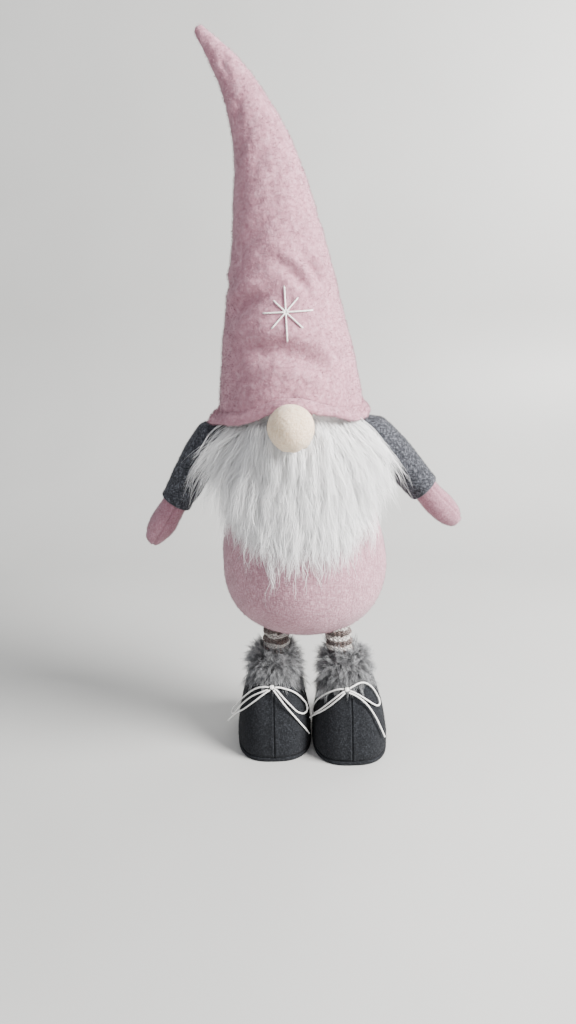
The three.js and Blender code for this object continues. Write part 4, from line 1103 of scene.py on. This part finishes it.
def locks(guides, rng, per_lock, spread, gather, wander):
    """Hairs round each guide curve, gathered towards the tip, each wandering a little."""
    count, steps = guides.shape[:2]
    shares = np.linspace(0, 1, steps)
    offsets = rng.normal(size=(count, per_lock, 3)) * spread
    closeness = 1 - gather * smoothstep(shares, 0.0, 0.9)
    curves = guides[:, None] + offsets[:, :, None] * closeness[None, None, :, None]
    phase = rng.uniform(0, 2 * math.pi, (count, per_lock, 1, 3))
    pace = rng.uniform(1.5, 4.5, (count, per_lock, 1, 3))
    along = shares[None, None, :, None]
    curves = curves + wander * np.sin(pace * math.pi * along + phase) * along
    cut = rng.uniform(0.5, 1.0, (count, per_lock))
    place = cut[:, :, None] * np.arange(steps)
    first = np.minimum(place.astype(int), steps - 2)
    part = (place - first)[..., None]
    before = np.take_along_axis(curves, first[..., None], axis=2)
    after = np.take_along_axis(curves, first[..., None] + 1, axis=2)
    return (before + part * (after - before)).reshape(-1, steps, 3)


def tapered(count, steps, root, tip_power, rng):
    """Strand radii: nearly even, then drawn out to a point."""
    shares = np.linspace(0, 1, steps)
    return root * rng.uniform(0.7, 1.25, (count, 1)) * (1 - shares**tip_power)[None]


BEARD_TOP, BEARD_LOW = 0.308, 0.218
BEARD_HALF_ANGLE = math.radians(66)


def body_surface(angle, z, out):
    """A point on the body at an angle from its front, standing out from it."""
    half = body_half_width(z)
    x = body_x(z) + (half + out) * np.sin(angle)
    y = AXIS_Y - (half * DEPTH_RATIO + out) * np.cos(angle)
    return np.stack([x, y, z], axis=-1)


def push_clear(points, lift):
    """Moves points out of the body, the nose and the sleeves, to stand lift above them."""
    half = body_half_width(points[..., 2]) + lift
    dx = points[..., 0] - body_x(points[..., 2])
    dy = (points[..., 1] - AXIS_Y) / DEPTH_RATIO
    radius = np.maximum(np.hypot(dx, dy), 1e-6)
    grow = np.maximum(half / radius, 1)
    points[..., 0] += dx * (grow - 1)
    points[..., 1] += dy * DEPTH_RATIO * (grow - 1)
    away = points - NOSE_CENTRE
    distance = np.maximum(np.linalg.norm(away, axis=-1), 1e-6)
    points += away * np.maximum((NOSE_RADIUS + 1 * MM) / distance - 1, 0)[..., None]
    for side in SIDES:
        shoulder, along, _ = arm_axes(side)
        reach = np.clip((points - shoulder) @ along, 0, ARM_LENGTH)
        nearest = shoulder + reach[..., None] * along
        away = points - nearest
        away[..., 1] = -np.abs(away[..., 1]) - 2 * MM
        distance = np.linalg.norm(away, axis=-1)
        needed = SHOULDER_RADIUS + 0.6 * MM + 0.35 * lift
        inside = (distance < needed)[..., None]
        points[:] = np.where(inside, nearest + away * (needed / distance)[..., None], points)
    return points


def before_arms(points):
    """Keeps hair beyond the shoulders in front of the room that the sleeves swing in."""
    front = AXIS_Y - SHOULDER_RADIUS - 1.6 * MM
    for side in SIDES:
        beyond = SIGN[side] * (points[..., 0] - SHOULDER[side][0]) > -8 * MM
        points[..., 1] = np.where(beyond, np.minimum(points[..., 1], front), points[..., 1])
    return points


def nose_guides(rng, count, steps):
    """Guide curves of the fur that the nose sits in: out from the head, then down."""
    x = NOSE_CENTRE[0] + NOSE_RADIUS * rng.uniform(-1.25, 1.25, count)
    height = rng.uniform(0.289, 0.309, count)
    half = body_half_width(height)
    angle = np.arcsin(np.clip((x - body_x(height)) / half, -0.8, 0.8))
    points = [body_surface(angle, height, 1 * MM)]
    away = (x - NOSE_CENTRE[0]) / NOSE_RADIUS
    sideways = 0.35 * away + rng.normal(0, 0.16, count)
    direction = unit(np.column_stack([sideways, -np.ones(count), rng.uniform(-0.5, 0.05, count)]))
    length = rng.uniform(0.030, 0.056, count)
    for step in range(1, steps):
        share = step / (steps - 1)
        fall = np.array([0, 0.05, -1.0]) * (0.05 + 0.6 * smoothstep(share, 0.2, 0.55))
        direction = unit(direction + fall)
        place = points[-1] + direction * (length / (steps - 1))[:, None]
        away = place - NOSE_CENTRE
        distance = np.linalg.norm(away, axis=-1)
        place += away * np.maximum((NOSE_RADIUS + 2 * MM) / distance - 1, 0)[:, None]
        points.append(place)
    return np.stack(points, axis=1)


def beard_guides(rng, count, steps, longer=1.0, outer=0.0):
    """Guide curves that fall from roots on the body's front, fanning out over the sleeves.

    outer is the least share of the half-angle from the front that a root can be at.
    """
    angle = BEARD_HALF_ANGLE * rng.uniform(outer, 1, count) * rng.choice([-1, 1], count)
    side = np.abs(angle) / BEARD_HALF_ANGLE
    low = BEARD_LOW + 0.030 * side**2
    height = low + (BEARD_TOP - low) * rng.uniform(0, 1, count) ** 0.8
    behind_nose = np.abs(body_surface(angle, height, 0)[:, 0] - NOSE_CENTRE[0]) < 0.95 * NOSE_RADIUS
    below_nose = NOSE_CENTRE[2] - rng.uniform(0.8, 1.6, count) * NOSE_RADIUS
    height = np.where(behind_nose, np.minimum(height, below_nose), height)
    top = smoothstep(height, 0.25, BEARD_TOP)
    root = body_surface(angle, height, 1 * MM)
    fan = np.sign(angle) * np.radians(5 + 58 * side**1.4 * (0.3 + 0.7 * top))
    fan += rng.normal(0, 0.17, count)
    out = np.column_stack([np.sin(angle), -np.cos(angle), 0 * angle])
    down = np.column_stack([np.sin(fan), 0 * fan, -np.cos(fan)])
    direction = unit(down + out * rng.uniform(0.25, 0.9, count)[:, None])
    length = (0.046 + 0.040 * top) * (1 - 0.24 * side) * rng.uniform(0.6, 1.22, count) * longer
    layer = rng.uniform(1.5, 18, count) * MM * (1 - 0.55 * side**2) * (0.5 + 0.5 * top)
    curl = rng.uniform(0.1, 0.6, count)
    pace = length / rng.uniform(0.022, 0.05, count)
    phase = rng.uniform(0, 2 * math.pi, count)
    points = [root]
    fall = np.array([0, 0, -1.0])
    for step in range(1, steps):
        share = step / (steps - 1)
        direction = unit(direction + (0.15 + 0.12 * share) * fall * (1 - 0.5 * side * top)[:, None])
        swing = (curl * np.cos(2 * math.pi * pace * share + phase))[:, None]
        level = np.column_stack([np.cos(angle), np.sin(angle), 0 * angle])
        place = points[-1] + unit(direction + swing * level) * (length / (steps - 1))[:, None]
        lift = layer * min(1.0, 3.2 * share) * (1 - 0.65 * share**2) + 1 * MM
        place = push_clear(place, lift)
        points.append(place)
    return np.stack(points, axis=1)


def make_beard_backing():
    """The fur's woven base, sewn to the body's front."""
    rows, columns = 40, 90
    angles = np.linspace(-BEARD_HALF_ANGLE, BEARD_HALF_ANGLE, columns)
    side = np.abs(angles) / BEARD_HALF_ANGLE
    low = BEARD_LOW - 4 * MM + 0.034 * side**2
    shares = np.linspace(0, 1, rows)[:, None]
    heights = low[None] + (BEARD_TOP + 6 * MM - low[None]) * shares
    across = 0.5 - 0.5 * np.abs(2 * np.linspace(0, 1, columns) - 1)
    edge = np.minimum(1, 6 * np.minimum(np.minimum(shares, 1 - shares), across))
    outer = body_surface(angles[None] + 0 * heights, heights, 1.0 * MM + 3 * MM * edge)
    inner = body_surface(angles[None] + 0 * heights, heights, 0.9 * MM + 0 * edge)
    outer += 0.4 * MM * smooth_noise(outer, 5 * MM, 30)[:, :, None]
    index = np.arange(rows * columns).reshape(rows, columns)
    corners = [index[:-1, :-1], index[:-1, 1:], index[1:, 1:], index[1:, :-1]]
    front = np.stack(corners, axis=-1).reshape(-1, 4)
    back = front[:, ::-1] + rows * columns
    rim = np.concatenate([index[0, :-1], index[:-1, -1], index[-1, :0:-1], index[:0:-1, 0]])
    ahead = np.roll(rim, -1)
    rims = np.stack([rim, rim + rows * columns, ahead + rows * columns, ahead], axis=-1)
    co = np.concatenate([outer.reshape(-1, 3), inner.reshape(-1, 3)])
    quads = np.concatenate([front, back, rims])
    backing = new_object("beard_backing", co, [], quads, MATERIALS["fur_backing"])
    finish_piece(backing, "torso", "beard_fur", "beard")


BEARD_LAYERS = 7
BEARD_LOCKS = 150  # in each layer
HAIRS_PER_LOCK = 19
HAIR_STEPS = 12
WISPS = 190  # sparse long locks over the beard's lower edge
NOSE_LOCKS = 120  # behind the nose
SIDE_WISPS = 120  # sparse locks that lie over the sleeves


def make_hair(name, guides, rng, per_lock, gather, wander, radius):
    curves = before_arms(locks(guides, rng, per_lock, 2.5 * MM, gather, wander))
    radii = tapered(len(curves), HAIR_STEPS, radius, 3, rng)
    hair = strand_mesh(name, curves, radii, MATERIALS["beard_fur"], 7)
    finish_piece(hair, "torso", "beard_fur")


def make_beard():
    make_beard_backing()
    for layer in range(BEARD_LAYERS):
        rng = np.random.default_rng(40 + layer)
        guides = beard_guides(rng, BEARD_LOCKS, HAIR_STEPS)
        make_hair(f"beard_hair_{layer + 1}", guides, rng, HAIRS_PER_LOCK, 0.62, 1.9 * MM, 0.145 * MM)
    rng = np.random.default_rng(52)
    guides = nose_guides(rng, NOSE_LOCKS, HAIR_STEPS)
    make_hair("beard_nose_hair", guides, rng, HAIRS_PER_LOCK, 0.5, 1.4 * MM, 0.145 * MM)
    rng = np.random.default_rng(50)
    guides = beard_guides(rng, WISPS, HAIR_STEPS, longer=1.28)
    make_hair("beard_wisps", guides, rng, 7, 0.7, 2.4 * MM, 0.16 * MM)
    rng = np.random.default_rng(51)
    guides = beard_guides(rng, SIDE_WISPS, HAIR_STEPS, longer=1.15, outer=0.8)
    make_hair("beard_side_wisps", guides, rng, 6, 0.6, 3.0 * MM, 0.13 * MM)


CUFF_LAYERS = 2
CUFF_LOCKS = 280
CUFF_HAIRS = 19
CUFF_STEPS = 7


def make_cuff(side):
    """A band of grey fur: a soft core, and hairs that stand up above and fall over the boot."""
    rows, columns = 26, 60
    base = BOOT_TOP - 3 * MM
    shares = np.linspace(0, 1, rows)
    heights = base + (CUFF_TOP - 6 * MM - base) * (0.5 - 0.5 * np.cos(math.pi * shares))
    swell = np.sin(math.pi * np.clip(shares, 0.02, 0.98)) ** 0.45
    radii = 11.8 * MM + 6.2 * MM * swell
    centres = leg_centre(side, heights, CUFF_FOLLOW)
    grid = oval_rows(centres, np.tile([1.0, 0, 0], (rows, 1)), radii, radii, ring_angles(columns, 0))
    lumps = 0.8 * MM * smooth_noise(grid, 6 * MM, 50 + SIGN[side])
    grid += grid_normals(grid) * lumps[:, :, None]
    core = grid_object(f"{side}_cuff_core", grid, MATERIALS["cuff_backing"], caps=(False, False))
    finish_piece(core, f"{side}_leg", "cuff_fur", f"{side}_fur_cuff")

    for layer in range(CUFF_LAYERS):
        rng = np.random.default_rng(60 + SIGN[side] + 10 * layer)
        up = rng.uniform(-0.15, 1.05, CUFF_LOCKS)
        angle = rng.uniform(0, 2 * math.pi, CUFF_LOCKS)
        place = leg_centre(side, base + up * (CUFF_TOP - 7 * MM - base), CUFF_FOLLOW)
        out = np.column_stack([np.cos(angle), np.sin(angle), 0 * angle])
        swell = np.sin(math.pi * np.clip(up, 0.1, 0.96)) ** 0.45
        reach = 11.4 * MM + 6.2 * MM * swell + 6 * MM * (up < 0.1)
        root = place + out * reach[:, None]
        slant = np.radians(-60 + 108 * np.clip(up, 0, 1)) + rng.normal(0, 0.3, CUFF_LOCKS)
        slant += (up > 0.85) * rng.uniform(0, 0.9, CUFF_LOCKS)
        beside = np.column_stack([-np.sin(angle), np.cos(angle), 0 * angle])
        sway = beside * rng.normal(0, 0.4, (CUFF_LOCKS, 1))
        level = out * np.cos(slant)[:, None] + sway
        direction = unit(level + np.array([0, 0, 1.0]) * np.sin(slant)[:, None])
        length = (rng.uniform(11, 17, CUFF_LOCKS) + 4 * (up < 0.15)) * MM
        points = [root]
        for _ in range(1, CUFF_STEPS):
            direction = unit(direction + np.array([0, 0, -0.1]))
            place = points[-1] + direction * (length / (CUFF_STEPS - 1))[:, None]
            points.append(clear_of_boot(side, place, 1.2 * MM))
        curves = locks(np.stack(points, axis=1), rng, CUFF_HAIRS, 1.6 * MM, 0.62, 1.2 * MM)
        curves = clear_of_boot(side, curves, 0.3 * MM)
        radii = tapered(len(curves), CUFF_STEPS, 0.14 * MM, 2, rng)
        name = f"{side}_cuff_hair_{layer + 1}"
        hair = strand_mesh(name, curves, radii, MATERIALS["cuff_fur"], 62 + layer)
        finish_piece(hair, f"{side}_leg", "cuff_fur")


make_beard()
for side in SIDES:
    make_cuff(side)

# ---- Hidden pieces ----

for part in frame["record"]["subparts"]:
    node = frame["nodes"][part["node"]]
    if not node.hide_render:
        node.data.materials.clear()
        node.data.materials.append(MATERIALS[part["material_slot"]])

# ---- Studio ----

TABLE_FRONT, TABLE_HALF_WIDTH = 1.6, 2.5
CURVE_START, CURVE_RADIUS, WALL_TOP = 0.45, 0.35, 2.2


def make_floor():
    """A pale table that curves up behind the gnome."""
    n = Nodes("table", roughness=0.45, specular=0.4)
    n.color(n.ramp(n.noise(n.place, 3), [(0.3, (0.40, 0.40, 0.388)), (0.7, (0.43, 0.43, 0.418))]))
    profile = [(-TABLE_FRONT, 0), (CURVE_START, 0)]
    for degrees in range(10, 81, 10):
        turn = math.radians(degrees)
        y = CURVE_START + CURVE_RADIUS * math.sin(turn)
        profile.append((y, CURVE_RADIUS * (1 - math.cos(turn))))
    profile += [(0.80, CURVE_RADIUS), (0.85, WALL_TOP)]
    co = [(x, y, z) for y, z in profile for x in (-TABLE_HALF_WIDTH, TABLE_HALF_WIDTH)]
    quads = [(2 * i, 2 * i + 1, 2 * i + 3, 2 * i + 2) for i in range(len(profile) - 1)]
    floor = new_object("table", np.array(co), [], quads, n.material)


def make_light(name, place, target, size, power, color=(1, 1, 1)):
    data = bpy.data.lights.new(name, "AREA")
    data.shape = "DISK"
    data.size = size
    data.energy = power
    data.color = color
    light = bpy.data.objects.new(name, data)
    light.location = place
    light.rotation_euler = (Vector(target) - Vector(place)).to_track_quat("-Z", "Y").to_euler()
    bpy.context.scene.collection.objects.link(light)


def make_studio():
    make_floor()
    middle = (0, 0, 0.28)
    make_light("window", (1.22, -0.58, 1.05), middle, 0.8, 136, (1.0, 0.985, 0.965))
    make_light("room", (-1.3, -1.0, 0.9), middle, 1.2, 4, (0.95, 0.97, 1.0))
    make_light("back", (0.5, 0.9, 1.3), middle, 0.8, 14)
    world = bpy.data.worlds.new("studio")
    world.use_nodes = True
    background = world.node_tree.nodes["Background"]
    background.inputs["Color"].default_value = (0.93, 0.95, 1.0, 1)
    background.inputs["Strength"].default_value = 0.85
    bpy.context.scene.world = world


make_studio()
